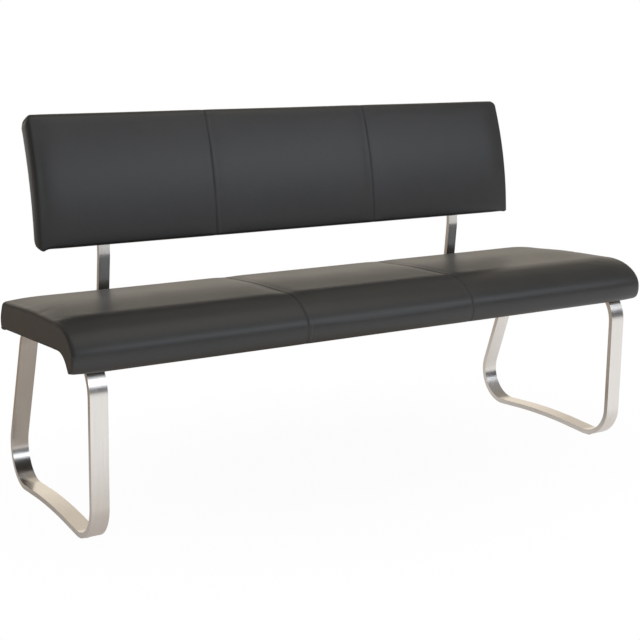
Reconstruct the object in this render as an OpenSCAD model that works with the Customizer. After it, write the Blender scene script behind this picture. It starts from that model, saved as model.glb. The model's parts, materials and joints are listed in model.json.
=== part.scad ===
// Upholstered dining bench: a waterfall seat pad on two flat-bar side frames, with a curved
// backrest pad on two flat-bar brackets. Millimetres, +Z up, the sitter faces -Y. The origin lies
// on the floor under the middle of the bench.

/* [Seat pad] */
// Width of the seat pad, end to end
seat_w = 1560; // [1300:10:2050]
// Depth of the seat pad, front of the roll to the rear edge
seat_d = 476; // [440:2:520]
// Thickness of the seat pad at its crown
seat_t = 63; // [56:1:70]
// Height of the pad's underside above the front of the legs
seat_under_z = 425; // [380:5:460]
// Backward tilt of the seat in degrees
seat_tilt = 3; // [1:0.5:5]
// How far the front roll stands ahead of the legs
seat_overhang = 18; // [10:1:28]
// Length of the front roll, from the flat top to its foremost line
roll_len = 115; // [90:5:130]
// Drop of the front roll, from the flat top to its foremost line
roll_drop = 68; // [60:1:74]
// How far the front lip hangs below the underside
lip_drop = 43; // [34:1:50]
// Thickness of the front lip at its foot
lip_t = 32; // [29:1:36]
// How far the rounded foot of the lip reaches back from its foremost line
lip_nose = 24; // [18:1:28]
// Radius of the inner corner at the foot of the lip
heel_r = 8; // [5:1:10]
// Radius of the hollow behind the lip
under_r = 56; // [45:1:65]
// Radius of the upper rear edge
rear_top_r = 38; // [28:1:42]
// Radius of the lower rear edge
rear_foot_r = 10; // [8:1:14]
// How far the ends of the seat pad are drawn in below the crown
seat_draw = 4.5; // [3:0.5:14]
// Length over which the seat crown falls away at each end
seat_crown_len = 85; // [70:5:120]

/* [Backrest pad] */
// How far the backrest pad ends short of the seat pad, at each end
back_short = 93; // [60:1:120]
// Height of the backrest pad, measured along its curve
back_h = 315; // [270:1:360]
// Thickness of the backrest pad at its foot
back_t = 50; // [46:1:56]
// Thickness of the backrest pad at its top
back_top_t = 61; // [50:1:64]
// Height of the backrest's lower edge above the floor
back_z = 574; // [566:1:620]
// Radius of the backrest's curved face
back_r = 855; // [700:5:1100]
// How far below the backrest's lower edge its curved face would stand upright
upright_drop = 16; // [10:1:26]
// Distance of that upright line ahead of the seat's rear edge
back_recess = 40; // [34:1:46]
// Radius of the upper front edge
back_top_front_r = 18; // [12:1:20]
// Radius of the upper rear edge
back_top_rear_r = 20; // [12:1:22]
// Radius of the lower rear edge
back_foot_rear_r = 20; // [12:1:22]
// Radius of the lower front edge
back_foot_front_r = 8; // [5:1:12]
// How far the ends of the backrest pad are drawn in at the face
back_draw = 4; // [3:0.5:6]
// How far its upper corners are rounded off
back_corner = 11; // [8:1:16]
// Length over which the backrest crown falls away at each end
back_crown_len = 60; // [45:5:80]

/* [Upholstery] */
// Thickness of the cover
cover_t = 1.2; // [0.8:0.1:1.6]
// Depth of the sewn channel at each panel seam
seam_dip = 1; // [0.6:0.2:3]
// Distance of the topstitching from its seam
stitch_gap = 9; // [5:1:12]
// Half width of the hollow that a seam draws into the pad
seam_hollow = 30; // [20:2:50]
// Width of the hems folded under the seat board
hem_w = 34; // [26:1:40]
// Thickness of the dust cover
dust_t = 0.8; // [0.5:0.1:1.2]
// How far the dust cover stays inside the pad's outline
dust_inset = 14; // [10:1:18]

/* [Boards] */
// Thickness of the seat board
board_t = 15; // [12:1:18]
// Foam wrapped behind the rear edge of the seat board
board_wrap = 4; // [3:0.5:6]
// Angle of the seat board's bend behind the lip, in degrees
board_bend = 52; // [40:1:54]
// Side of the square stiffener tube
tube = 20; // [16:1:22]
// Wall of the stiffener tube
tube_wall = 1.5; // [1:0.25:2]
// How far the stiffener ends short of the board at each end
tube_short = 25; // [15:5:40]
// Thickness of the backrest board
back_board_t = 12; // [10:1:12]
// How far the backrest board stays inside the pad's upper and lower edges
back_board_inset = 9; // [7:1:12]
// Clearance between foam and what it wraps
soft_gap = 0.5; // [0.4:0.1:0.8]

/* [Side frames] */
// How far each side frame stands in from the end of the seat pad
frame_inset = 41; // [20:1:120]
// Width of the flat bar
bar_w = 40; // [34:1:46]
// Thickness of the flat bar
bar_t = 12; // [10:1:14]
// Outer radius of the upper front bend
top_front_r = 92; // [80:2:100]
// Outer radius of the upper rear bend
top_rear_r = 65; // [50:1:75]
// Outer radius of the two lower bends
low_r = 88; // [70:2:96]
// How far the foot of the front leg stands behind its head
foot_back = 7; // [0:1:14]
// How far the side frames reach back behind the seat's rear edge
frame_behind = 74; // [50:1:100]
// Distance of the upper rear bend's centre ahead of the seat's rear edge
rear_bend_inset = 82; // [70:1:110]
// Rise of the runner between its glides
arch = 8; // [4:1:12]

/* [Brackets] */
// How far each bracket stands in from the end of the backrest pad
bracket_inset = 154; // [110:2:250]
// Width of the bracket bar
bracket_w = 28; // [25:1:34]
// Thickness of the bracket bar
bracket_t = 12; // [10:1:12]
// Gap between the seat's rear edge and the bracket
bracket_gap = 8; // [6:1:14]
// Inner radius of the bracket's lower bend
bracket_bend_r = 15; // [12:1:18]
// Radius of the bracket's knee under the backrest
knee_r = 80; // [50:5:120]
// How far the knee's centre lies below the backrest's lower edge
knee_drop = 24; // [20:1:28]
// Length of the bracket's foot under the seat
foot_len = 190; // [150:5:230]
// How far the bracket reaches up inside the backrest, along the curve
bracket_top_len = 200; // [160:5:230]
// Clearance round the bracket where it enters the cover
slot_gap = 0.6; // [0.4:0.1:1]

/* [Fasteners and glides] */
// Thread diameter of the bolts under the seat
seat_bolt_d = 8; // [6:1:8]
// Thread diameter of the backrest bolts
back_bolt_d = 6; // [5:1:6]
// Diameter of the stiffener screws
screw_d = 4; // [3:0.5:5]
// Diameter of a floor glide
glide_d = 16; // [12:1:20]
// Height of a floor glide
glide_h = 5; // [4:0.5:8]
// Diameter of a glide's stem
stem_d = 6; // [4:0.5:7]
// Length of a glide's stem
stem_len = 8; // [5:0.5:9]

/* [Hidden] */

// One overrun for every cut
cut = 1;
// Steps of a full circle on round pieces
round_fn = 48;
SIDES = [-1, 1];

leather = "#3b3b3d";
steel = "#cfccc6";
zinc = "#b9b9ba";
foam_tint = "#e6ddb8";
ply_tint = "#c9a878";
cloth_tint = "#1d1d1f";
black = "#161616";

// Fastener shapes, as shares of the thread's diameter
head_d_share = 1.75;
head_h_share = 0.55;
hole_share = 1.08;
socket_share = 0.55;
socket_h_share = 0.3;
washer_d_share = 2.2;
washer_h_share = 0.2;
barrel_share = 1.3;
flange_d_share = 2.6;
flange_h_share = 0.18;
sunk_d_share = 2;
sunk_h_share = 0.5;

// Clearance between a thread and its nut, and round barrels and flanges
thread_gap = 0.05;
// Clearance round a glide's stem
stem_gap = 0.05;
// Overlap where a bar's straight runs into its bend, and how far the straight's faces lie inside
// those of the bend, so that the bar is one clean solid
joint_lap = 0.05;
joint_step = 0.01;
// Steps along one bend of flat bar
bend_steps = 8;

// Seat lines, in the seat's own plane: u runs back from the front of the legs, h up from the underside
front_u = -seat_overhang;
rear_u = seat_d - seat_overhang;
roll_u = front_u + roll_len;
fore_h = seat_t - roll_drop;
heel_u = front_u + lip_t;
heel_angle = 60;
hollow_u = heel_u + (lip_drop - under_r * (1 - cos(heel_angle))) / tan(heel_angle)
    + under_r * sin(heel_angle);
board_rear_u = rear_u - rear_foot_r - board_wrap;
seat_half = seat_w / 2 - cover_t;
seat_seam_share = 0.147;
seat_seam = seat_w * seat_seam_share;

// Shares of the end draw that each part of the seat's outline takes
rear_draw_share = 0.2;
top_draw_share = 1;
foot_draw_share = 0.6;

// Outline of the crowned seat, an open line from the rear hem over the top to the front hem.
// Each point holds u, h and its share of the end draw.
seat_outline = [
    [rear_u - rear_foot_r - hem_w, 0, 0],
    for (a = [-90:45:0])
        [rear_u - rear_foot_r * (1 - cos(a)), rear_foot_r * (1 + sin(a)),
            rear_draw_share * (a + 90) / 90],
    for (a = [10:20:90])
        [rear_u - rear_top_r * (1 - cos(a)), seat_t - rear_top_r * (1 - sin(a)),
            rear_draw_share + (top_draw_share - rear_draw_share) * a / 90],
    for (k = [1:2])
        [rear_u - rear_top_r - (rear_u - rear_top_r - roll_u) * k / 3, seat_t, top_draw_share],
    for (k = [0:7]) let (a = 90 + 90 * k / 7)
        [roll_u + roll_len * cos(a), fore_h + roll_drop * sin(a), top_draw_share],
    for (a = [210:30:270])
        [front_u + lip_nose * (1 + cos(a)), fore_h + (lip_drop + fore_h) * sin(a),
            top_draw_share + (foot_draw_share - top_draw_share) * (a - 180) / 90],
    for (a = [-90:30:-30])
        [heel_u - heel_r * tan(heel_angle / 2) + heel_r * cos(a), heel_r * (1 + sin(a)) - lip_drop,
            foot_draw_share * (-a - 30) / 60],
    for (a = [heel_angle:-heel_angle / 3:0])
        [hollow_u - under_r * sin(a), -under_r * (1 - cos(a)), 0],
    [hollow_u + hem_w, 0, 0]];

// Places in the outline: foam runs from the rear foot to the lip's back
foam_first = 1;
foam_last = len(seat_outline) - 5;

// Backrest lines: s runs up along the curve, a runs back from the board's front face
back_w = seat_w - 2 * back_short;
back_face_y = rear_u - back_recess;
back_upright_z = back_z - upright_drop;
pad_behind = 3.8;
back_seam_share = 0.17;
face_a = -(back_t - back_board_t - bracket_t - pad_behind - cover_t);
board_face_r = back_r + face_a;
curve_y = back_face_y + back_r;
foot_phi = asin(upright_drop / board_face_r);
back_half = back_w / 2 - cover_t;
back_seam = back_w * back_seam_share;

// Shares of the end draw for the backrest's face, rear and foot
back_rear_share = 0.6;
back_foot_share = 0.4;

// Outline of the crowned backrest, a closed line: foot, rear, top and face. Each point holds a,
// s, its share of the end draw and its share of the rounded upper corner.
back_outline = [
    for (a = [-90:45:0]) let (s = back_foot_rear_r * (1 + sin(a)))
        [rear_a(s) - back_foot_rear_r * (1 - cos(a)), s, back_rear_share, 0],
    for (k = [1:2]) let (s = mix(back_foot_rear_r, back_h - back_top_rear_r, k / 3))
        [rear_a(s), s, back_rear_share, 0],
    for (a = [0:30:90]) let (s = back_h - back_top_rear_r * (1 - sin(a)))
        [rear_a(s) - back_top_rear_r * (1 - cos(a)), s, back_rear_share * cos(a),
            (1 + sin(a)) / 2],
    for (a = [90:30:180])
        [face_a + back_top_front_r * (1 + cos(a)), back_h - back_top_front_r * (1 - sin(a)),
            -cos(a), (1 + sin(a)) / 2],
    for (k = [1:4]) [face_a, mix(back_h - back_top_front_r, back_foot_front_r, k / 5), 1, 0],
    for (a = [180:45:270])
        [face_a + back_foot_front_r * (1 + cos(a)), back_foot_front_r * (1 + sin(a)),
            mix(1, back_foot_share, (a - 180) / 90), 0]];

function mix(a, b, t) = a + (b - a) * t;
function rear_a(s) = face_a + mix(back_t, back_top_t, s / back_h);
function unit(v) = v / norm(v);
function right_of(v) = [v.y, -v.x];

// Outward normal of an anticlockwise line at point i, lengthened at a corner so that a shifted
// line keeps its distance
function outward(line, i, closed) =
    let (
        n = len(line),
        here = flat(line[i]),
        before = i > 0 ? here - flat(line[i - 1]) : closed ? here - flat(line[n - 1]) :
            flat(line[1]) - here,
        after = i < n - 1 ? flat(line[i + 1]) - here : closed ? flat(line[0]) - here : before,
        middle = unit(unit(before) + unit(after)))
    right_of(middle) / (middle * unit(after));
function flat(p) = [p.x, p.y];

// A line moved inwards by its draw and by a further distance
function drawn(line, draw, inner, closed) =
    [for (i = [0:len(line) - 1])
        flat(line[i]) - outward(line, i, closed) * (draw * line[i][2] + inner)];

// Where panels end or bend along X, from the left end of the left panel to its seam
function left_rings(half, seam, crown_len) =
    [for (share = [0, 0.07, 0.25, 0.6, 1]) -half + crown_len * share,
        -seam - seam_hollow, -seam - stitch_gap, -seam];
function middle_rings(seam) =
    [-seam, -seam + stitch_gap, -seam + seam_hollow, seam - seam_hollow, seam - stitch_gap, seam];
function mirrored(l) = [for (i = [len(l) - 1:-1:0]) -l[i]];

// Share of the crown's fall at x, zero inside and one at the end
function fall(x, half, crown_len) = pow(max(0, 1 - (half - abs(x)) / crown_len), 2);
// Depth of the sewn channel at x
function channel(x, seam) = seam_dip * pow(max(0, 1 - abs(abs(x) - seam) / seam_hollow), 3);

// One ring of the seat at x, moved in by a further distance
function seat_ring(x, inner) =
    let (
        shape = drawn(seat_outline, seat_draw * fall(x, seat_half, seat_crown_len)
            + channel(x, seat_seam), inner, false))
    [for (p = shape) [x, p.x, p.y]];

// The foam's lower side at x: round the stiffener, along the board and round its bent end
lift = cover_t + board_t + soft_gap;
notch_u = board_rear_u - tube - soft_gap;
notch_h = cover_t + board_t + tube + soft_gap;
function foam_under(x) =
    let (
        back_u = board_rear_u + soft_gap,
        top_r = under_r + lift,
        foot_r = under_r + cover_t,
        line = [
            for (t = [0, 0.33, 0.67, 1]) [back_u, mix(cover_t, notch_h, t)],
            [mix(back_u, notch_u, 0.5), notch_h],
            [notch_u, notch_h],
            [notch_u, lift],
            [notch_u - tube, lift],
            for (k = [foam_first + 8:foam_first + 10]) [seat_outline[k].x, lift],
            for (k = [0:6]) hollow_u_arc(top_r, board_bend * k / 6),
            for (k = [1:7]) hollow_u_arc(mix(top_r, foot_r, k / 7), board_bend + end_gap_angle)])
    [for (p = line) [x, p.x, p.y]];
end_gap_angle = soft_gap / under_r * 180 / PI;
function hollow_u_arc(r, a) = [hollow_u - r * sin(a), r * cos(a) - under_r];

// Backrest: the angle that a length along the board's face turns through, and the way from the
// flat lines to the curve
function turned(s) = s / board_face_r * 180 / PI;
function curved(x, p) =
    let (phi = foot_phi + turned(p.y), r = board_face_r - p.x)
    [x, curve_y - r * cos(phi), back_upright_z + r * sin(phi)];
function corner_fall(x) =
    let (t = max(0, 1 - (back_half - abs(x)) / back_corner)) back_corner * (1 - sqrt(1 - t * t));
function back_line(x, inner) =
    let (
        shape = drawn(back_outline, back_draw * fall(x, back_half, back_crown_len)
            + channel(x, back_seam), inner, true))
    [for (i = [0:len(shape) - 1])
        [shape[i].x, shape[i].y - corner_fall(x) * back_outline[i][3]]];
function back_ring(x, inner) = [for (p = back_line(x, inner)) curved(x, p)];

// A layer between an outer and an inner grid of points; each grid is a list of rings along X
module layer(outer, inner, closed = false) {
    rings = len(outer);
    per = len(outer[0]);
    base = rings * per;
    last = rings - 1;
    steps = closed ? per : per - 1;
    skins = [for (k = [0:rings - 2], i = [0:steps - 1])
        let (j = (i + 1) % per, a = k * per + i, b = k * per + j, c = b + per, d = a + per)
        each [[a, d, c], [a, c, b], [base + a, base + c, base + d], [base + a, base + b, base + c]]];
    ends = [for (i = [0:steps - 1])
        let (j = (i + 1) % per, e = last * per)
        each [[i, j, base + j], [i, base + j, base + i],
            [e + i, base + e + i, base + e + j], [e + i, base + e + j, e + j]]];
    hems = closed ? [] : [for (k = [0:rings - 2])
        let (a = k * per, b = a + per, c = a + per - 1, d = b + per - 1)
        each [[a, base + a, base + b], [a, base + b, b],
            [c, d, base + d], [c, base + d, base + c]]];
    polyhedron(
        points = [for (ring = outer) each ring, for (ring = inner) each ring],
        faces = concat(skins, ends, hems), convexity = 8);
}

// Extrudes a shape drawn in the upright plane across the bench, from x on by w
module across(x, w) {
    translate([x, 0, 0]) rotate([90, 0, 90]) linear_extrude(w) children();
}

// One bend of flat bar: middle radius r about a centre, from an angle on by a sweep
module bend(centre, r, t, w, from, sweep) {
    rotate([90, 0, 90]) translate([centre.x, centre.y, 0]) rotate([0, 0, from])
        rotate_extrude(angle = sweep, $fn = max(round_fn, ceil(bend_steps * 360 / sweep)))
            translate([r - t / 2, -w / 2]) square([t, w]);
}

// One straight length of flat bar between two points of the upright plane
module straight(p, q, t, w) {
    d = q - p;
    rotate([90, 0, 90]) translate([p.x, p.y, -w / 2]) rotate([0, 0, atan2(d.y, d.x)])
        translate([0, -t / 2, 0]) cube([norm(d), t, w]);
}

// Flat bar bent round wheels, each [y, z, middle radius]. The radius is negative where the bar
// turns right, and zero at a plain end. A first or last wheel is wrapped by its lead or tail.
function heading(a, b) =
    let (d = [b.x - a.x, b.y - a.y]) atan2(d.y, d.x) + asin((a.z - b.z) / norm(d));
function touch(wheel, angle) = flat(wheel) + wheel.z * [sin(angle), -cos(angle)];
function turn(before, after) = (after - before + 540) % 360 - 180;
module bar(wheels, t, w, closed = false, lead = 0, tail = 0) {
    n = len(wheels);
    for (i = [0:closed ? n - 1 : n - 2]) {
        a = wheels[i];
        b = wheels[(i + 1) % n];
        way = heading(a, b);
        lap = joint_lap * [cos(way), sin(way)];
        straight(touch(a, way) - lap, touch(b, way) + lap, t - 2 * joint_step, w - 2 * joint_step);
    }
    for (i = [0:n - 1]) {
        wheel = wheels[i];
        first = i == 0 && !closed;
        last = i == n - 1 && !closed;
        out_way = last ? undef : heading(wheel, wheels[(i + 1) % n]);
        in_way = first ? out_way - lead : heading(wheels[(i + n - 1) % n], wheel);
        sweep = first ? lead : last ? tail : turn(in_way, out_way);
        if (wheel.z > 0 && sweep > 0) bend(wheel, wheel.z, t, w, in_way - 90, sweep);
        if (wheel.z < 0 && sweep < 0) bend(wheel, -wheel.z, t, w, out_way + 90, -sweep);
    }
}

// Places the seat's own plane in the frame, and every node about the middle of the depth
module in_seat() {
    translate([0, 0, seat_under_z]) rotate([-seat_tilt, 0, 0]) children();
}
function seat_to_frame(u, h) =
    [u * cos(seat_tilt) + h * sin(seat_tilt), seat_under_z - u * sin(seat_tilt) + h * cos(seat_tilt)];
function under_seat_z(y, h) = seat_under_z - y * tan(seat_tilt) + h / cos(seat_tilt);
front_y = min([for (p = seat_outline) seat_to_frame(p.x, p.y).x]);
frame_rear = rear_u + frame_behind;
rear_y = max(frame_rear, max([for (p = back_ring(0, 0)) p.y]));
module placed() {
    translate([0, -(front_y + rear_y) / 2, 0]) children();
}

// Side frame: the bar runs round four bends and the runner's arch
frame_x = seat_w / 2 - frame_inset - bar_w / 2;
rear_bend_y = rear_u - rear_bend_inset;
low_z = glide_h + low_r;
front_low_y = foot_back + low_r;
rear_low_y = frame_rear - low_r;
arch_share = 0.9;
low_middle_r = low_r - bar_t / 2;
arch_r = arch_share * (pow(rear_low_y - front_low_y, 2) / (8 * arch) - low_middle_r + arch / 2);
frame_wheels = [
    [front_low_y, low_z, low_middle_r],
    [(front_low_y + rear_low_y) / 2, glide_h + bar_t / 2 + arch - arch_r, -arch_r],
    [rear_low_y, low_z, low_middle_r],
    [rear_bend_y, under_seat_z(rear_bend_y, -dust_t - top_rear_r), top_rear_r - bar_t / 2],
    [top_front_r, under_seat_z(top_front_r, -dust_t - top_front_r), top_front_r - bar_t / 2]];

// Bolt places: shares of the rail between its bends, and of the bracket's foot
rail_bolt_shares = [0.14, 0.5, 0.86];
foot_bolt_shares = [0.22, 0.78];
rail_bolt_us = [for (t = rail_bolt_shares) mix(top_front_r, rear_bend_y, t) / cos(seat_tilt)];

// Bracket: round the backrest's curve, over the knee, under the seat's rear edge
bracket_x = back_w / 2 - bracket_inset - bracket_w / 2;
bracket_r = board_face_r - back_board_t - bracket_t / 2;
foot_bend_u = rear_u + bracket_gap - bracket_bend_r;
bracket_foot = seat_to_frame(foot_bend_u, bracket_bend_r - dust_t);
bracket_end = seat_to_frame(foot_bend_u - foot_len, -dust_t - bracket_t / 2);
bracket_wheels = [
    [curve_y, back_upright_z, bracket_r],
    [curve_y - bracket_r + knee_r, back_z - knee_drop, knee_r],
    [bracket_foot.x, bracket_foot.y, -bracket_bend_r - bracket_t / 2],
    [bracket_end.x, bracket_end.y, 0]];
bracket_lead = heading(bracket_wheels[0], bracket_wheels[1]) + 90 + foot_phi
    + turned(bracket_top_len);
foot_bolt_us = [for (t = foot_bolt_shares) foot_bend_u - foot_len * t];
back_bolt_shares = [0.3, 0.78];
back_bolt_phis = [for (t = back_bolt_shares) foot_phi + turned(bracket_top_len * t)];

// Places of the seat bolts as [x, u]
rail_bolts = [for (side = SIDES, u = rail_bolt_us) [side * frame_x, u]];
foot_bolts = [for (side = SIDES, u = foot_bolt_us) [side * bracket_x, u]];
screw_shares = [-0.94, -0.56, -0.19, 0.19, 0.56, 0.94];
tube_half = seat_half - tube_short;
screws = [for (t = screw_shares) [tube_half * t, board_rear_u - tube / 2]];
board_top = cover_t + board_t;

// Children stand upright in the seat's plane at each place, at height h above the underside
module at_seat(places, h = 0) {
    in_seat() for (p = places) translate([p.x, p.y, h]) children();
}
// Children lie on the backrest board's face at each bracket bolt, pointing back
module at_back(a) {
    for (side = SIDES, phi = back_bolt_phis)
        translate([side * bracket_x, curve_y, back_upright_z]) rotate([-phi, 0, 0])
            translate([0, a - board_face_r, 0]) rotate([-90, 0, 0]) children();
}

// Round pieces, each standing on the origin
module rod(d, h) { cylinder(d = d, h = h, $fn = round_fn); }
module hole(d, h) { translate([0, 0, -cut]) rod(d, h + 2 * cut); }

// A button-head bolt: the head hangs below the origin, the shank rises by l
module button_bolt(d, l) {
    rod(d, l);
    difference() {
        translate([0, 0, -head_h_share * d]) rod(head_d_share * d, head_h_share * d);
        translate([0, 0, -head_h_share * d - cut])
            cylinder(d = socket_share * d, h = socket_h_share * d + cut, $fn = 6);
    }
}
// A countersunk bolt: the head's face lies at the origin, the shank rises by l
module sunk_bolt(d, l) {
    difference() {
        union() {
            cylinder(d1 = sunk_d_share * d, d2 = d, h = sunk_h_share * d, $fn = round_fn);
            rod(d, l);
        }
        translate([0, 0, -cut])
            cylinder(d = socket_share * d, h = socket_h_share * d + cut, $fn = 6);
    }
}
module sunk_hole(d, l) {
    translate([0, 0, -cut]) rod(hole_share * d, l + 2 * cut);
    cylinder(d1 = (sunk_d_share + hole_share - 1) * d, d2 = hole_share * d, h = sunk_h_share * d,
        $fn = round_fn);
    translate([0, 0, -cut]) rod((sunk_d_share + hole_share - 1) * d, cut);
}
// A tee nut whose flange ends at the origin, with its barrel below
module tee_nut(d, board) {
    difference() {
        union() {
            translate([0, 0, -flange_h_share * d]) rod(flange_d_share * d, flange_h_share * d);
            translate([0, 0, -board * barrel_l_share]) rod(barrel_share * d, board * barrel_l_share);
        }
        translate([0, 0, -board]) hole(d + 2 * thread_gap, board);
    }
}
barrel_l_share = 0.7;
module tee_nut_seat(d, board) {
    translate([0, 0, -flange_h_share * d]) rod(flange_d_share * d + 2 * thread_gap,
        flange_h_share * d + cut);
    translate([0, 0, -board]) hole(barrel_share * d + 2 * thread_gap, board);
}

// Seat cover: three top panels and two end panels
module seat_panel(rings) {
    color(leather) placed() in_seat() layer([for (x = rings) seat_ring(x, 0)],
        [for (x = rings) seat_ring(x, cover_t)]);
}
seat_left = left_rings(seat_half, seat_seam, seat_crown_len);
seat_middle = middle_rings(seat_seam);
module seat_cover_left() { seat_panel(seat_left); }
module seat_cover_middle() { seat_panel(seat_middle); }
module seat_cover_right() { seat_panel(mirrored(seat_left)); }
module seat_end(side) {
    hem_front = hollow_u + hem_w;
    color(leather) placed() in_seat() {
        across(side > 0 ? seat_half : -seat_half - cover_t, cover_t)
            polygon([for (p = seat_ring(seat_half, 0)) [p.y, p.z]]);
        translate([side > 0 ? seat_half - hem_w : -seat_half, hem_front, 0])
            cube([hem_w, rear_u - rear_foot_r - hem_w - hem_front, cover_t]);
    }
}
module seat_cover_left_end() { seat_end(-1); }
module seat_cover_right_end() { seat_end(1); }

module seat_foam() {
    rings = concat(seat_left, [for (x = seat_middle) if (abs(x) < seat_seam) x], mirrored(seat_left));
    color(foam_tint) placed() in_seat() layer(
        [for (x = rings) let (ring = seat_ring(x, cover_t)) [for (i = [foam_first:foam_last]) ring[i]]],
        [for (x = rings) foam_under(x)]);
}

module seat_board() {
    middle_r = under_r + cover_t + board_t / 2;
    color(ply_tint) placed() difference() {
        in_seat() bar([[board_rear_u, cover_t + board_t / 2, 0], [hollow_u, -under_r, middle_r]],
            board_t, 2 * (seat_half - soft_gap), tail = board_bend);
        at_seat(concat(rail_bolts, foot_bolts), board_top) tee_nut_seat(seat_bolt_d, board_t);
        at_seat(screws, cover_t) sunk_hole(screw_d, board_t);
    }
}

module seat_stiffener() {
    color(black) placed() difference() {
        in_seat() translate([-tube_half, board_rear_u - tube, board_top]) difference() {
            cube([2 * tube_half, tube, tube]);
            translate([-cut, tube_wall, tube_wall])
                cube([2 * (tube_half + cut), tube - 2 * tube_wall, tube - 2 * tube_wall]);
        }
        at_seat(screws, board_top) hole(screw_d + 2 * thread_gap, tube_wall);
    }
}

module stiffener_screws() {
    color(zinc) placed() at_seat(screws, cover_t)
        sunk_bolt(screw_d, board_t + tube_wall + screw_d / 2);
}

module dust_cover() {
    half = seat_half - dust_inset;
    front = hollow_u + dust_inset;
    color(cloth_tint) placed() difference() {
        in_seat() translate([-half, front, -dust_t])
            cube([2 * half, rear_u - rear_foot_r - dust_inset - front, dust_t]);
        at_seat(concat(rail_bolts, foot_bolts), -dust_t) hole(hole_share * seat_bolt_d, dust_t);
    }
}

// Side frames, with bolt holes in the rail and stem holes over the glides
glide_ys = [front_low_y, rear_low_y];
module side_frame(side) {
    color(steel) placed() difference() {
        translate([side * frame_x, 0, 0]) bar(frame_wheels, bar_t, bar_w, closed = true);
        at_seat([for (p = rail_bolts) if (p.x * side > 0) p], -dust_t - bar_t)
            hole(hole_share * seat_bolt_d, bar_t);
        for (y = glide_ys) translate([side * frame_x, y, glide_h - cut])
            rod(stem_d + 2 * stem_gap, stem_len + 2 * cut);
    }
}
module left_side_frame() { side_frame(-1); }
module right_side_frame() { side_frame(1); }

module seat_bolt_set(places, bar) {
    washer = washer_h_share * seat_bolt_d;
    color(zinc) placed() at_seat(places, -dust_t - bar - washer)
        button_bolt(seat_bolt_d, washer + bar + dust_t + board_top - flange_h_share * seat_bolt_d);
}
module washer_set(places, bar) {
    washer = washer_h_share * seat_bolt_d;
    color(zinc) placed() at_seat(places, -dust_t - bar - washer) difference() {
        rod(washer_d_share * seat_bolt_d, washer);
        hole(hole_share * seat_bolt_d, washer);
    }
}
module nut_set(places) {
    color(zinc) placed() at_seat(places, board_top) tee_nut(seat_bolt_d, board_t);
}
module frame_bolts() { seat_bolt_set(rail_bolts, bar_t); }
module frame_washers() { washer_set(rail_bolts, bar_t); }
module frame_tee_nuts() { nut_set(rail_bolts); }
module bracket_bolts() { seat_bolt_set(foot_bolts, bracket_t); }
module bracket_washers() { washer_set(foot_bolts, bracket_t); }
module bracket_tee_nuts() { nut_set(foot_bolts); }

module glide(side, y) {
    color(black) placed() translate([side * frame_x, y, 0]) {
        cylinder(d1 = glide_d * glide_foot_share, d2 = glide_d, h = glide_h, $fn = round_fn);
        rod(stem_d, glide_h + stem_len);
    }
}
glide_foot_share = 0.88;
module front_left_glide() { glide(-1, glide_ys[0]); }
module front_right_glide() { glide(1, glide_ys[0]); }
module rear_left_glide() { glide(-1, glide_ys[1]); }
module rear_right_glide() { glide(1, glide_ys[1]); }

// Brackets, from under the seat up into the backrest
module bracket_bar(side, more) {
    translate([side * bracket_x, 0, 0])
        bar(bracket_wheels, bracket_t + 2 * more, bracket_w + 2 * more, lead = bracket_lead);
}
module bracket(side) {
    color(steel) placed() difference() {
        bracket_bar(side, 0);
        at_seat([for (p = foot_bolts) if (p.x * side > 0) p], -dust_t - bracket_t)
            hole(hole_share * seat_bolt_d, bracket_t);
        at_back(back_board_t + bracket_t) rotate([180, 0, 0]) sunk_hole(back_bolt_d, bracket_t);
    }
}
module left_bracket() { bracket(-1); }
module right_bracket() { bracket(1); }

// Backrest cover: three panels closed round the pad, and two end panels
module back_panel(rings) {
    layer([for (x = rings) back_ring(x, 0)], [for (x = rings) back_ring(x, cover_t)], true);
}
back_left = left_rings(back_half, back_seam, back_crown_len);
back_middle = middle_rings(back_seam);
module back_cover_left() {
    color(leather) placed() difference() {
        back_panel(back_left);
        bracket_bar(-1, slot_gap);
    }
}
module back_cover_middle() { color(leather) placed() back_panel(back_middle); }
module back_cover_right() {
    color(leather) placed() difference() {
        back_panel(mirrored(back_left));
        bracket_bar(1, slot_gap);
    }
}
module back_end(side) {
    color(leather) placed() across(side > 0 ? back_half : -back_half - cover_t, cover_t)
        polygon([for (p = back_ring(back_half, 0)) [p.y, p.z]]);
}
module back_cover_left_end() { back_end(-1); }
module back_cover_right_end() { back_end(1); }

// Foam between the cover and a plane of the board: the cover's inner points from i to j, closed
// along the plane a
function pad_outer(x, i, j, a) =
    let (line = back_line(x, cover_t))
    [for (p = concat([[a, line[i].y]], [for (k = [i:j]) line[k]], [[a, line[j].y]])) curved(x, p)];
function pad_inner(x, i, j, a) =
    let (line = back_line(x, cover_t), n = j - i + 2, from = line[i].y, to = line[j].y)
    [for (k = [0:n]) curved(x, [a, mix(from, to, mix(pad_edge_share, 1 - pad_edge_share, k / n))])];
pad_edge_share = 0.02;
module pad(rings, i, j, a) {
    layer([for (x = rings) pad_outer(x, i, j, a)], [for (x = rings) pad_inner(x, i, j, a)]);
}
front_first = 9;
front_last = 19;
rear_first = 1;
rear_last = 7;
module back_foam() {
    rings = concat(back_left, [for (x = back_middle) if (abs(x) < back_seam) x], mirrored(back_left));
    color(foam_tint) placed() pad(rings, front_first, front_last, -soft_gap);
}
module back_rear_padding() {
    near = bracket_x - bracket_w / 2 - soft_gap;
    far = bracket_x + bracket_w / 2 + soft_gap;
    outer = concat([for (x = back_left) if (x < -far) x], [-far]);
    inner = concat([-near], [for (x = back_left) if (x > -near) x],
        [for (x = back_middle) if (abs(x) < back_seam) x],
        [for (x = mirrored(back_left)) if (x < near) x], [near]);
    color(foam_tint) placed() for (rings = [outer, inner, mirrored(outer)])
        pad(rings, rear_first, rear_last, back_board_t + soft_gap);
}

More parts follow.
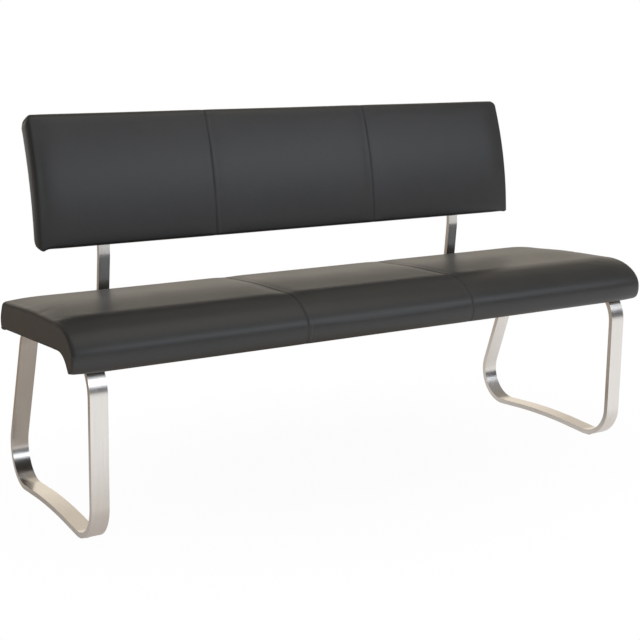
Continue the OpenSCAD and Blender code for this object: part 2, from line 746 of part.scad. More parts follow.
module back_board() {
    from = foot_phi + turned(back_board_inset);
    to = foot_phi + turned(back_h - back_board_inset);
    color(ply_tint) placed() difference() {
        bend([curve_y, back_upright_z], board_face_r - back_board_t / 2, back_board_t,
            2 * (back_half - back_corner), 180 - to, to - from);
        at_back(0) rotate([180, 0, 0]) tee_nut_seat(back_bolt_d, back_board_t);
    }
}
module back_bolts() {
    color(zinc) placed() at_back(back_board_t + bracket_t) rotate([180, 0, 0])
        sunk_bolt(back_bolt_d, bracket_t + back_board_t - flange_h_share * back_bolt_d);
}
module back_tee_nuts() {
    color(zinc) placed() at_back(0) rotate([180, 0, 0]) tee_nut(back_bolt_d, back_board_t);
}

seat_cover_left();
seat_cover_middle();
seat_cover_right();
seat_cover_left_end();
seat_cover_right_end();
seat_foam();
seat_board();
seat_stiffener();
stiffener_screws();
dust_cover();
left_side_frame();
right_side_frame();
frame_bolts();
frame_washers();
frame_tee_nuts();
front_left_glide();
front_right_glide();
rear_left_glide();
rear_right_glide();
left_bracket();
right_bracket();
bracket_bolts();
bracket_washers();
bracket_tee_nuts();
back_cover_left();
back_cover_middle();
back_cover_right();
back_cover_left_end();
back_cover_right_end();
back_foam();
back_rear_padding();
back_board();
back_bolts();
back_tee_nuts();
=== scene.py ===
"""An upholstered dining bench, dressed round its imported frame.

The seat and backrest covers are sewn panels over foam, blown up slightly by a cloth simulation and
held at their seams. The side frames and brackets are brushed flat bar. All lengths are metres in
the bench's own frame: +X along the bench, +Z up, and the sitter faces -Y.
"""

from __future__ import annotations

import json
import logging
import math
from collections.abc import Sequence
from dataclasses import dataclass, field
from enum import Enum, IntEnum

import bmesh
import bpy
import numpy as np
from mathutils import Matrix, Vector
from mathutils.geometry import delaunay_2d_cdt

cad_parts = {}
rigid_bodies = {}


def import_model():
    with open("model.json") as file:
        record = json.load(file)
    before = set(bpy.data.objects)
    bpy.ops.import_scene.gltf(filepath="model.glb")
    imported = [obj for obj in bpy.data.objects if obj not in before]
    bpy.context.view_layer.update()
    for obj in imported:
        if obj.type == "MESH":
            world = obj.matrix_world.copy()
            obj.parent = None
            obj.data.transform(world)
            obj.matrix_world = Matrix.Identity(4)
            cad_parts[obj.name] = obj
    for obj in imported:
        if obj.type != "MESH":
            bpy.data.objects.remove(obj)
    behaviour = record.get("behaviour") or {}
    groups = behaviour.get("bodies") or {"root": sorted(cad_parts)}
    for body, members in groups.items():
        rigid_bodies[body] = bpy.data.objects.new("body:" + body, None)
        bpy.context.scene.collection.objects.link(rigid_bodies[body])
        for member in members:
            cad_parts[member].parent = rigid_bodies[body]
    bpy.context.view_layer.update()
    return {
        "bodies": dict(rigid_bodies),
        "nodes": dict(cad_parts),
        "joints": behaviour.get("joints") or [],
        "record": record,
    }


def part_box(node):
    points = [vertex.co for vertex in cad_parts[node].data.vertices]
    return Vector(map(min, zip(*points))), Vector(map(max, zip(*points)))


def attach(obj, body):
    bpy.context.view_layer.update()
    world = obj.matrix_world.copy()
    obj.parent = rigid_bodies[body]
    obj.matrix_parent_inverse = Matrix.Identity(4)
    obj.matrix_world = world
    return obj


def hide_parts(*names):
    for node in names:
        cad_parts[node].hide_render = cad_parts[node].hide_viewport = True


log = logging.getLogger("bench")

Piece = bpy.types.Object
Material = bpy.types.Material
Inputs = dict[object, object]
Face = tuple[int, ...]
Pair = tuple[float, float]
Triple = tuple[float, float, float]
Colour = tuple[float, float, float, float]

ROOT = "root"
CLOTH_FRAMES = 20
CLOTH: dict[str, object] = {
    "quality": 6,
    "mass": 0.4,
    "tension_stiffness": 12,
    "compression_stiffness": 12,
    "shear_stiffness": 6,
    "bending_stiffness": 0.8,
    "use_pressure": True,
    "uniform_pressure_force": 4.0,
    "vertex_group_mass": "held",
}


class Side(IntEnum):
    """An end of the bench, as the sign of its X."""

    LEFT = -1
    RIGHT = 1


# Shader expressions


class Value:
    """A shader socket that takes part in Python sums, for numbers and for grey masks."""

    def __init__(self, shader: Nodes, socket: bpy.types.NodeSocket | None) -> None:
        """Wraps an output socket of a shader's tree, or None for a node that ends it."""
        self.shader = shader
        self.socket = socket

    def _math(self, operation: str, *others: Value | float, swapped: bool = False) -> Value:
        """Adds a Math node.

        Args:
            operation: The Math node's operation.
            others: The other inputs.
            swapped: True when this value is the second input.

        Returns:
            The node's result.
        """
        inputs = [self, *others]
        if swapped:
            inputs.reverse()
        return self.shader.node("ShaderNodeMath", {"operation": operation}, dict(enumerate(inputs)))

    def __add__(self, other: Value | float) -> Value:
        """Sum."""
        return self._math("ADD", other)

    __radd__ = __add__

    def __sub__(self, other: Value | float) -> Value:
        """Difference."""
        return self._math("SUBTRACT", other)

    def __rsub__(self, other: float) -> Value:
        """Difference with this value second."""
        return self._math("SUBTRACT", other, swapped=True)

    def __mul__(self, other: Value | float) -> Value:
        """Product."""
        return self._math("MULTIPLY", other)

    __rmul__ = __mul__

    def __pow__(self, other: float) -> Value:
        """Power."""
        return self._math("POWER", other)

    def clamped(self) -> Value:
        """This value held between 0 and 1."""
        return self._math("MINIMUM", 1.0)._math("MAXIMUM", 0.0)

    def rising(self, start: float, end: float) -> Value:
        """0 up to a start, 1 from an end on, and a straight line between them."""
        return ((self - start) * (1 / (end - start))).clamped()


class Nodes:
    """Builds a node tree, for a material or for the surround."""

    def __init__(self, tree: bpy.types.NodeTree) -> None:
        """Empties the tree that is to be built."""
        self.tree = tree
        self.tree.nodes.clear()

    def node(
        self,
        kind: str,
        settings: dict[str, object],
        inputs: Inputs,
        output: int | str = 0,
    ) -> Value:
        """Adds any node.

        Args:
            kind: The node's type.
            settings: Its settings, set before the sockets. A ramp's stops are under "stops".
            inputs: Socket names or numbers with their values or links.
            output: Which output to return.

        Returns:
            The output socket, wrapped.
        """
        made = self.tree.nodes.new(kind)
        for key, value in settings.items():
            if key == "stops":
                ramp = made.color_ramp
                while len(ramp.elements) < len(value):
                    ramp.elements.new(1.0)
                for element, (place, colour) in zip(ramp.elements, value, strict=True):
                    element.position = place
                    element.color = colour
            else:
                setattr(made, key, value)
        for key, value in inputs.items():
            if isinstance(value, Value):
                self.tree.links.new(value.socket, made.inputs[key])
            else:
                made.inputs[key].default_value = value
        return Value(self, made.outputs[output] if made.outputs else None)

    def separate(self, vector: Value, axis: int) -> Value:
        """One part of a vector, by its axis 0, 1 or 2."""
        return self.node("ShaderNodeSeparateXYZ", {}, {0: vector}, axis)

    def place(self, scale: float | Triple) -> Value:
        """The point being shaded, in the piece's metres, stretched evenly or along each axis."""
        point = self.node("ShaderNodeTexCoord", {}, {}, "Object")
        return self.node(
            "ShaderNodeVectorMath",
            {"operation": "MULTIPLY"},
            {0: point, 1: tuple(np.broadcast_to(scale, 3) * 1.0)},
        )

    def noise(self, scale: float | Triple, detail: float, rough: float = 0.5) -> Value:
        """Soft noise from 0 to 1, by cells per metre, octaves and the share of each further one."""
        inputs = {"Vector": self.place(scale), "Scale": 1.0, "Detail": detail, "Roughness": rough}
        return self.node("ShaderNodeTexNoise", {"noise_dimensions": "3D"}, inputs)

    def cells(self, scale: float, feature: str = "F1") -> Value:
        """Distance to the nearest of scattered points, so many to a metre."""
        inputs = {"Vector": self.place(scale), "Scale": 1.0}
        return self.node("ShaderNodeTexVoronoi", {"feature": feature}, inputs)

    def ramp(self, value: Value, *stops: tuple[float, Colour]) -> Value:
        """A colour from a number, by places between 0 and 1 with their colours."""
        return self.node("ShaderNodeValToRGB", {"stops": stops}, {0: value})

    def greys(self, value: Value, *stops: Pair | Triple) -> Value:
        """A grey from a number, by stops of place, brightness and warmth if any."""
        return self.ramp(value, *((place, grey(*tone)) for place, *tone in stops))

    def mix(self, share: Value, first: object, second: object) -> Value:
        """A colour between two, by how much of the second there is."""
        inputs = {0: share, 6: first, 7: second}
        return self.node("ShaderNodeMix", {"data_type": "RGBA"}, inputs, 2)

    def shown(self) -> Value:
        """1 for rays from the camera or through glass, which see plain white, and 0 for others."""
        kinds = ("Is Camera Ray", "Is Transmission Ray")
        return sum(self.node("ShaderNodeLightPath", {}, {}, kind) for kind in kinds).clamped()

    def attribute(self, name: str) -> Value:
        """A number kept on the mesh's points, by its name."""
        return self.node("ShaderNodeAttribute", {"attribute_name": name}, {}, 2)

    def bump(
        self, height: Value, depth: float, strength: float, under: Value | None = None
    ) -> Value:
        """A surface normal bent by a height.

        Args:
            height: The height as a share of depth.
            depth: The full height in metres.
            strength: How much of the bend shows.
            under: Another bump to add to.

        Returns:
            The normal.
        """
        inputs: Inputs = {"Height": height, "Distance": depth, "Strength": strength}
        if under is not None:
            inputs["Normal"] = under
        return self.node("ShaderNodeBump", {}, inputs)


class Shader(Nodes):
    """Builds one material's node tree."""

    def __init__(self, name: str) -> None:
        """Makes an empty material.

        Args:
            name: The material's name.
        """
        self.material = bpy.data.materials.new(name)
        self.material.use_nodes = True
        super().__init__(self.material.node_tree)

    def surface(
        self, colour: Value, rough: Value | float, normal: Value, **others: float
    ) -> Material:
        """Finishes the material with a Principled surface.

        Args:
            colour: Its base colour.
            rough: Its roughness.
            normal: Its normal.
            others: Other sockets with their values.

        Returns:
            The material.
        """
        sockets = {"Base Color": colour, "Roughness": rough, "Normal": normal, **others}
        shade = self.node("ShaderNodeBsdfPrincipled", {}, sockets)
        self.node("ShaderNodeOutputMaterial", {}, {"Surface": shade})
        return self.material


# Finishes


def grey(level: float, warmth: float = 0.0) -> Colour:
    """A linear grey, with a share of its level added to red and taken from blue."""
    return (level * (1 + warmth), level, level * (1 - warmth), 1.0)


@dataclass(frozen=True)
class Leather:
    """Smooth faux leather: a fine pebbled grain, broad mottling, and seams darkened partly by dirt
    and partly by painted shade.
    """

    name: str = "cover_leather"
    tone: float = 0.03
    roughness: float = 0.4
    grain_per_m: float = 760.0
    grain_depth: float = 0.00012
    crease_depth: float = 0.0009
    gloss_index: float = 1.5

    def material(self) -> Material:
        """Builds the material."""
        shader = Shader(self.name)
        mottle = shader.noise(9, 4, 0.6)
        fine = shader.noise(140, 3, 0.55)
        seam = shader.attribute("seam_share")
        # Seams and panel ends are darkened: partly dirt, partly painted shade in their grooves.
        colour = shader.greys(
            (mottle * 0.55 + fine * 0.3 + 0.06 - seam * 0.22).clamped(),
            (0.0, self.tone * 0.5),
            (0.35, self.tone * 0.9, 0.02),
            (0.7, self.tone * 1.16, 0.04),
            (1.0, self.tone * 1.3, 0.06),
        )
        pebbles = shader.cells(self.grain_per_m, "SMOOTH_F1")
        pores = shader.noise(2300, 2)
        grain = shader.bump(pebbles * 0.8 + pores * 0.3, self.grain_depth, 0.5)
        creases = shader.noise((46, 21, 46), 5, 0.62)
        normal = shader.bump(creases, self.crease_depth, 0.16, grain)
        rough = (self.roughness - 0.07 + mottle * 0.08 + fine * 0.06 + seam * 0.16).clamped()
        return shader.surface(colour, rough, normal, IOR=self.gloss_index)


@dataclass(frozen=True)
class BrushedSteel:
    """Stainless flat bar, brushed along its length, with faint handling marks."""

    name: str = "brushed_stainless"
    tone: float = 0.75
    roughness: float = 0.23

    def material(self) -> Material:
        """Builds the material."""
        shader = Shader(self.name)
        lines = shader.noise((3100, 16, 16), 3, 0.6)
        broad = shader.noise((420, 9, 9), 2)
        hands = shader.noise(26, 4, 0.6)
        colour = shader.greys(
            (lines * 0.5 + broad * 0.3 + hands * 0.2).clamped(),
            (0.25, self.tone * 0.88, 0.045),
            (0.55, self.tone, 0.04),
            (0.8, self.tone * 1.08, 0.03),
        )
        rough = (self.roughness - 0.1 + lines * 0.12 + hands * 0.1).clamped()
        normal = shader.bump(lines * 0.7 + broad * 0.3, 0.00004, 0.35)
        return shader.surface(colour, rough, normal, Metallic=1.0)


@dataclass(frozen=True)
class ZincPlate:
    """Bright zinc on fasteners, slightly clouded."""

    name: str = "zinc_plate"
    tone: float = 0.5

    def material(self) -> Material:
        """Builds the material."""
        shader = Shader(self.name)
        cloud = shader.noise(240, 4, 0.6)
        colour = shader.greys(cloud, (0.3, self.tone * 0.8, 0.05), (0.7, self.tone * 1.1, -0.03))
        rough = (0.24 + cloud * 0.2).clamped()
        normal = shader.bump(shader.noise((1500, 1500, 300), 2), 0.00003, 0.4)
        return shader.surface(colour, rough, normal, Metallic=1.0)


@dataclass(frozen=True)
class PowderCoat:
    """Black powder coat with its fine orange peel."""

    name: str = "black_powder_coat"

    def material(self) -> Material:
        """Builds the material."""
        shader = Shader(self.name)
        peel = shader.noise(700, 2)
        colour = shader.greys(peel, (0.3, 0.014), (0.7, 0.022))
        rough = (0.36 + peel * 0.14).clamped()
        return shader.surface(colour, rough, shader.bump(peel, 0.00006, 0.5))


@dataclass(frozen=True)
class Plywood:
    """Moulded plywood with its rotary-cut grain along the bench."""

    name: str = "moulded_plywood"
    dark: Colour = (0.33, 0.2, 0.1, 1)
    middle: Colour = (0.5, 0.33, 0.18, 1)
    light: Colour = (0.62, 0.45, 0.27, 1)

    def material(self) -> Material:
        """Builds the material."""
        shader = Shader(self.name)
        grain = shader.noise((5, 60, 60), 5, 0.62)
        fibres = shader.noise((40, 900, 900), 3)
        tint = (grain * 0.7 + fibres * 0.3).clamped()
        colour = shader.ramp(tint, (0.3, self.dark), (0.5, self.middle), (0.72, self.light))
        rough = (0.55 + fibres * 0.25).clamped()
        return shader.surface(colour, rough, shader.bump(tint, 0.0002, 0.4))


@dataclass(frozen=True)
class MouldedPlastic:
    """Black moulded glide plastic, scuffed underneath."""

    name: str = "glide_plastic"

    def material(self) -> Material:
        """Builds the material."""
        shader = Shader(self.name)
        grain = shader.noise(1400, 2)
        scuffs = shader.noise((190, 1900, 190), 3, 0.6)
        colour = shader.greys(scuffs, (0.4, 0.018), (0.78, 0.05))
        rough = (0.42 + grain * 0.2).clamped()
        return shader.surface(colour, rough, shader.bump(grain, 0.00005, 0.5))


@dataclass(frozen=True)
class DustCloth:
    """Thin black non-woven cloth with its pressed dimples."""

    name: str = "dust_cloth"

    def material(self) -> Material:
        """Builds the material."""
        shader = Shader(self.name)
        dimples = shader.cells(430)
        fibres = shader.noise((900, 240, 900), 4, 0.65)
        tint = (dimples * 0.5 + fibres * 0.5).clamped()
        colour = shader.greys(tint, (0.2, 0.008), (0.7, 0.03))
        normal = shader.bump(dimples * 0.6 + fibres * 0.4, 0.0003, 0.6)
        return shader.surface(colour, 0.92, normal)


@dataclass(frozen=True)
class Thread:
    """Bonded sewing thread with its twist."""

    name: str = "sewing_thread"

    def material(self) -> Material:
        """Builds the material."""
        shader = Shader(self.name)
        twist = shader.noise(1600, 2)
        colour = shader.greys(twist, (0.3, 0.09), (0.7, 0.16, 0.03))
        rough = (0.5 + twist * 0.2).clamped()
        return shader.surface(colour, rough, shader.bump(twist, 0.0001, 0.6))


@dataclass(frozen=True)
class StudioPaper:
    """The pale floor: near white to the camera, with the bench's soft shadow.

    To other rays it is plain paper near the bench and glows further out, but not in the dim part
    of the room, behind on the left.
    """

    name: str = "studio_paper"
    near_glow: float = 0.96
    near: float = 0.2
    far: float = 0.8
    across_share: float = 0.49
    dim_centre: Pair = (-1.8, 2.4)
    dim_near: float = 1.8
    dim_far: float = 3.5
    tone: float = 0.64
    warmth: float = 0.2

    def material(self) -> Material:
        """Builds the material."""
        shader = Shader(self.name)
        spot = shader.place(1)
        x, y = shader.separate(spot, 0), shader.separate(spot, 1)
        away = ((x * x * self.across_share + y * y) ** 0.5).rising(self.near, self.far)
        dx, dy = x - self.dim_centre[0], y - self.dim_centre[1]
        lit = away * ((dx * dx + dy * dy) ** 0.5).rising(self.dim_near, self.dim_far)
        shown = shader.shown()
        glow = shown * (away * (1 - self.near_glow) + self.near_glow) + (1 - shown) * lit
        paper = shader.node("ShaderNodeBsdfDiffuse", {}, {"Color": grey(self.tone, self.warmth)})
        white = shader.node("ShaderNodeEmission", {}, {"Color": grey(1.0), "Strength": 1.0})
        both = shader.node("ShaderNodeMixShader", {}, {0: glow, 1: paper, 2: white})
        shader.node("ShaderNodeOutputMaterial", {}, {"Surface": both})
        return shader.material


@dataclass(frozen=True)
class Surround:
    """The room round the studio: white to the camera, a gradient to light and reflections."""

    front: float = 0.08
    back: float = 1.0
    left_share: float = 0.05
    overhead: float = 0.31
    wall_top: float = 0.3
    wall_top_slope: float = 4.5
    back_slope: float = 0.8
    left_slope: float = -1.2
    front_tint: Colour = (0.95, 0.97, 1.0, 1)
    back_tint: Colour = (1.0, 0.91, 0.78, 1)

    def build(self, world: bpy.types.World) -> None:
        """Fills the world's tree.

        Args:
            world: The world.
        """
        world.use_nodes = True
        nodes = Nodes(world.node_tree)
        way = nodes.node("ShaderNodeTexCoord", {}, {}, "Generated")
        height = ((nodes.separate(way, 2) - self.wall_top) * self.wall_top_slope).clamped()
        behind = (nodes.separate(way, 1) * self.back_slope + 0.5).clamped()
        leftward = (nodes.separate(way, 0) * self.left_slope).clamped()
        wall = self.front + behind * (self.back - self.front)
        horizon = wall * (1 - leftward * (1 - self.left_share))
        level = horizon + height * (self.overhead - horizon)
        shown = nodes.shown()
        colour = nodes.mix(shown, nodes.mix(behind, self.front_tint, self.back_tint), grey(1.0))
        strength = shown + (1 - shown) * level
        light = nodes.node("ShaderNodeBackground", {}, {"Color": colour, "Strength": strength})
        nodes.node("ShaderNodeOutputWorld", {}, {"Surface": light})


class Finish(Enum):
    """The bench's finishes, each under the record's material slot."""

    LEATHER = "leather"
    PLYWOOD = "plywood"
    BLACK_STEEL = "black_steel"
    ZINC = "zinc"
    DUST_CLOTH = "dust_cloth"
    STAINLESS = "stainless"
    GLIDE_PLASTIC = "glide_plastic"


class Palette:
    """Every material of the bench, made once."""

    def __init__(self) -> None:
        """Builds the materials."""
        looks = {
            Finish.LEATHER: Leather(),
            Finish.PLYWOOD: Plywood(),
            Finish.BLACK_STEEL: PowderCoat(),
            Finish.ZINC: ZincPlate(),
            Finish.DUST_CLOTH: DustCloth(),
            Finish.STAINLESS: BrushedSteel(),
            Finish.GLIDE_PLASTIC: MouldedPlastic(),
        }
        self.by_finish = {finish: look.material() for finish, look in looks.items()}
        self.thread = Thread().material()

    def dress(
        self, piece: Piece, finish: Finish, material: Material | None = None
    ) -> None:
        """Gives a piece its material and reports it.

        Args:
            piece: The piece.
            finish: Its finish.
            material: Another material for the same slot.
        """
        piece.data.materials.clear()
        piece.data.materials.append(material or self.by_finish[finish])
        log.info("%s: %s, %d faces", piece.name, finish.value, len(piece.data.polygons))


# Mesh helpers


def linked(name: str, data: bpy.types.ID) -> Piece:
    """Makes an object and puts it in the scene.

    Args:
        name: The object's name.
        data: Its mesh, light or camera.

    Returns:
        The object.
    """
    made = bpy.data.objects.new(name, data)
    bpy.context.scene.collection.objects.link(made)
    return made


def shade(mesh: bpy.types.Mesh, smooth: bool) -> None:
    """Makes every face of a mesh smooth or flat."""
    mesh.polygons.foreach_set("use_smooth", [smooth] * len(mesh.polygons))


def mesh_piece(name: str, points: Sequence[Sequence[float]], faces: Sequence[Face]) -> Piece:
    """Makes a smooth-shaded mesh object.

    Args:
        name: The piece's name.
        points: Its vertices.
        faces: Its faces.

    Returns:
        The object, linked to the scene.
    """
    mesh = bpy.data.meshes.new(name)
    mesh.from_pydata([tuple(p) for p in points], [], [tuple(f) for f in faces])
    mesh.update()
    shade(mesh, True)
    return linked(name, mesh)


def grid_faces(
    rows: int, per: int, closed: bool = False, flipped: bool = False, first: int = 0
) -> list[Face]:
    """Faces between rows of points.

    Args:
        rows: Number of rows.
        per: Points in a row.
        closed: True when each row closes on itself.
        flipped: True to turn the faces over.
        first: Number of the first point.

    Returns:
        The faces, row after row.
    """
    faces = []
    for k in range(rows - 1):
        for i in range(per if closed else per - 1):
            a, b = first + k * per + i, first + k * per + (i + 1) % per
            faces.append((a, a + per, b + per, b) if flipped else (a, b, b + per, a + per))
    return faces


def applied(piece: Piece) -> None:
    """Bakes a piece's modifiers into its mesh.

    Args:
        piece: The piece.
    """
    depsgraph = bpy.context.evaluated_depsgraph_get()
    mesh = bpy.data.meshes.new_from_object(piece.evaluated_get(depsgraph), depsgraph=depsgraph)
    piece.modifiers.clear()
    piece.data = mesh


def thickened(piece: Piece, thickness: float, offset: float) -> None:
    """Gives a skin its thickness.

    Args:
        piece: The skin.
        thickness: Its thickness.
        offset: -1 to add it inside, 0 to add it on both sides.
    """
    thick = piece.modifiers.new("Thickness", "SOLIDIFY")
    thick.thickness = thickness
    thick.offset = offset
    thick.use_rim = True
    applied(piece)


def rows_of(mesh: bpy.types.Mesh, key: str) -> np.ndarray:
    """One of the vectors of a mesh's vertices.

    Args:
        mesh: The mesh.
        key: Which vector: co or normal.

    Returns:
        One row per vertex.
    """
    flat = np.zeros(len(mesh.vertices) * 3)
    mesh.vertices.foreach_get(key, flat)
    return flat.reshape(-1, 3)


def mark_seams(piece: Piece, shares: Sequence[float]) -> None:
    """Keeps each point's share of a seam, for the leather's darkening there, which is partly dirt
    and partly painted shade.
    """
    seam = piece.data.attributes.new("seam_share", "FLOAT", "POINT")
    seam.data.foreach_set("value", shares)


def inflate(piece: Piece, held: Sequence[int], cap: float, sink_share: float = 0.1) -> None:
    """Blows a sewn skin up a little, as foam does, and keeps the result in its mesh.

    Args:
        piece: The skin, with its normals outward.
        held: The vertices that seams and hems hold still.
        cap: How far a point may move outwards.
        sink_share: How much of an inward move is kept.
    """
    scene = bpy.context.scene
    before = rows_of(piece.data, "co")
    group = piece.vertex_groups.new(name="held")
    group.add([int(i) for i in held], 1.0, "REPLACE")
    cloth = piece.modifiers.new("Inflate", "CLOTH")
    for key, value in CLOTH.items():
        setattr(cloth.settings, key, value)
    cloth.settings.effector_weights.gravity = 0
    cloth.collision_settings.use_collision = False
    cloth.point_cache.frame_start = 1
    cloth.point_cache.frame_end = CLOTH_FRAMES
    for frame in range(1, CLOTH_FRAMES + 1):
        scene.frame_set(frame)
    depsgraph = bpy.context.evaluated_depsgraph_get()
    moved = rows_of(piece.evaluated_get(depsgraph).to_mesh(), "co") - before
    piece.evaluated_get(depsgraph).to_mesh_clear()
    normals = rows_of(piece.data, "normal")
    out = np.sum(moved * normals, axis=1, keepdims=True)
    after = before + normals * np.where(out > 0, cap * np.tanh(out / cap), out * sink_share)
    piece.modifiers.remove(cloth)
    piece.vertex_groups.remove(group)
    piece.data.vertices.foreach_set("co", after.ravel())
    piece.data.update()
    scene.frame_set(1)


def bevelled_copy(
    node: Piece,
    name: str,
    width: float,
    merge: float = 0.00002,
    flat_angle: float = 0.8,
    sharp_angle: float = 35,
) -> Piece:
    """Copies a hard piece and breaks its sharp edges as the real one's are.

    Args:
        node: The frame's piece.
        name: The copy's name.
        width: The width of the broken edge.
        merge: The distance at which two points are one.
        flat_angle: Faces that meet at less than this many degrees are one face.
        sharp_angle: Edges that turn by more than this many degrees are broken.

    Returns:
        The copy.
    """
    shape = bmesh.new()
    shape.from_mesh(node.data)
    bmesh.ops.remove_doubles(shape, verts=shape.verts, dist=merge)
    bmesh.ops.dissolve_limit(
        shape,
        angle_limit=math.radians(flat_angle),
        verts=shape.verts,
        edges=shape.edges,
        delimit={"NORMAL"},
    )
    mesh = bpy.data.meshes.new(name)
    shape.to_mesh(mesh)
    shape.free()
    shade(mesh, True)
    piece = linked(name, mesh)
    bevel = piece.modifiers.new("Broken edges", "BEVEL")
    bevel.width = width
    bevel.segments = 2
    bevel.limit_method = "ANGLE"
    bevel.angle_limit = math.radians(sharp_angle)
    bevel.use_clamp_overlap = True
    weighted = piece.modifiers.new("Flat faces", "WEIGHTED_NORMAL")
    weighted.keep_sharp = True
    applied(piece)
    return piece


# Lines and falling shares


def near(distance: float | np.ndarray, width: float) -> float | np.ndarray:
    """A smooth share, 1 at no distance and falling away over a width."""
    return np.exp(-((distance / width) ** 2))


def share(value: float | np.ndarray) -> float | np.ndarray:
    """A value held between 0 and 1."""
    return np.clip(value, 0, 1)


def rounded(to_edge: float, radius: float) -> float:
    """How far a rounded edge falls back, from the distance to the edge and its radius."""
    t = max(0.0, 1 - to_edge / radius)
    return radius * (1 - math.sqrt(max(0.0, 1 - t * t)))


def lengths_along(line: np.ndarray) -> np.ndarray:
    """Distance from a line's start to each of its points."""
    return np.concatenate([[0.0], np.cumsum(np.linalg.norm(np.diff(line, axis=0), axis=1))])


def distance_to(line: np.ndarray, spots: np.ndarray) -> np.ndarray:
    """Distance from each spot to a closed line.

    Args:
        line: The line's corners.
        spots: The spots.

    Returns:
        One distance per spot, negative outside the line.
    """
    best = np.full(len(spots), np.inf)
    inside = np.zeros(len(spots), bool)
    for a, b in zip(line, np.roll(line, -1, axis=0), strict=True):
        along = b - a
        part = share((spots - a) @ along / max(float(along @ along), 1e-18))
        best = np.minimum(best, np.linalg.norm(spots - a - part[:, None] * along, axis=1))
        crosses = (a[1] > spots[:, 1]) != (b[1] > spots[:, 1])
        if a[1] != b[1]:
            reach = a[0] + (spots[:, 1] - a[1]) / (b[1] - a[1]) * along[0]
            inside ^= crosses & (spots[:, 0] < reach)
    return np.where(inside, best, -best)


def unit(v: np.ndarray) -> np.ndarray:
    """A vector's direction, as a vector of length one."""
    return v / max(float(np.linalg.norm(v)), 1e-12)


def outward_normals(line: np.ndarray, closed: bool) -> np.ndarray:
    """Outward normals of an anticlockwise line.

    Args:
        line: Points in a plane, one per row.
        closed: True when the line closes on itself.

    Returns:
        One unit normal per point.
    """
    before = line - np.roll(line, 1, axis=0)
    after = np.roll(line, -1, axis=0) - line
    if not closed:
        before[0] = after[0]
        after[-1] = before[-1]
    along = np.array([unit(unit(b) + unit(a)) for b, a in zip(before, after, strict=True)])
    return np.stack([along[:, 1], -along[:, 0]], axis=1)


def arc(centre: Pair, radii: float | Pair, start: float, end: float, steps: int) -> list[Triple]:
    """Points along a circle or an ellipse.

    Args:
        centre: Its centre.
        radii: Its radius or its two half axes.
        start: First angle in degrees.
        end: Last angle in degrees.
        steps: Number of steps.

    Returns:
        Points with the share of the way along as their third value.
    """
    wide, high = np.broadcast_to(radii, 2)
    found = []
    for k in range(steps + 1):
        t = k / steps
        angle = math.radians(start + (end - start) * t)
        found.append((centre[0] + wide * math.cos(angle), centre[1] + high * math.sin(angle), t))
    return found


def between(first: float, last: float, steps: int) -> list[float]:
    """Evenly spaced values without the two ends, by the number of steps."""
    return [first + (last - first) * k / steps for k in range(1, steps)]


# Sections of the two pads


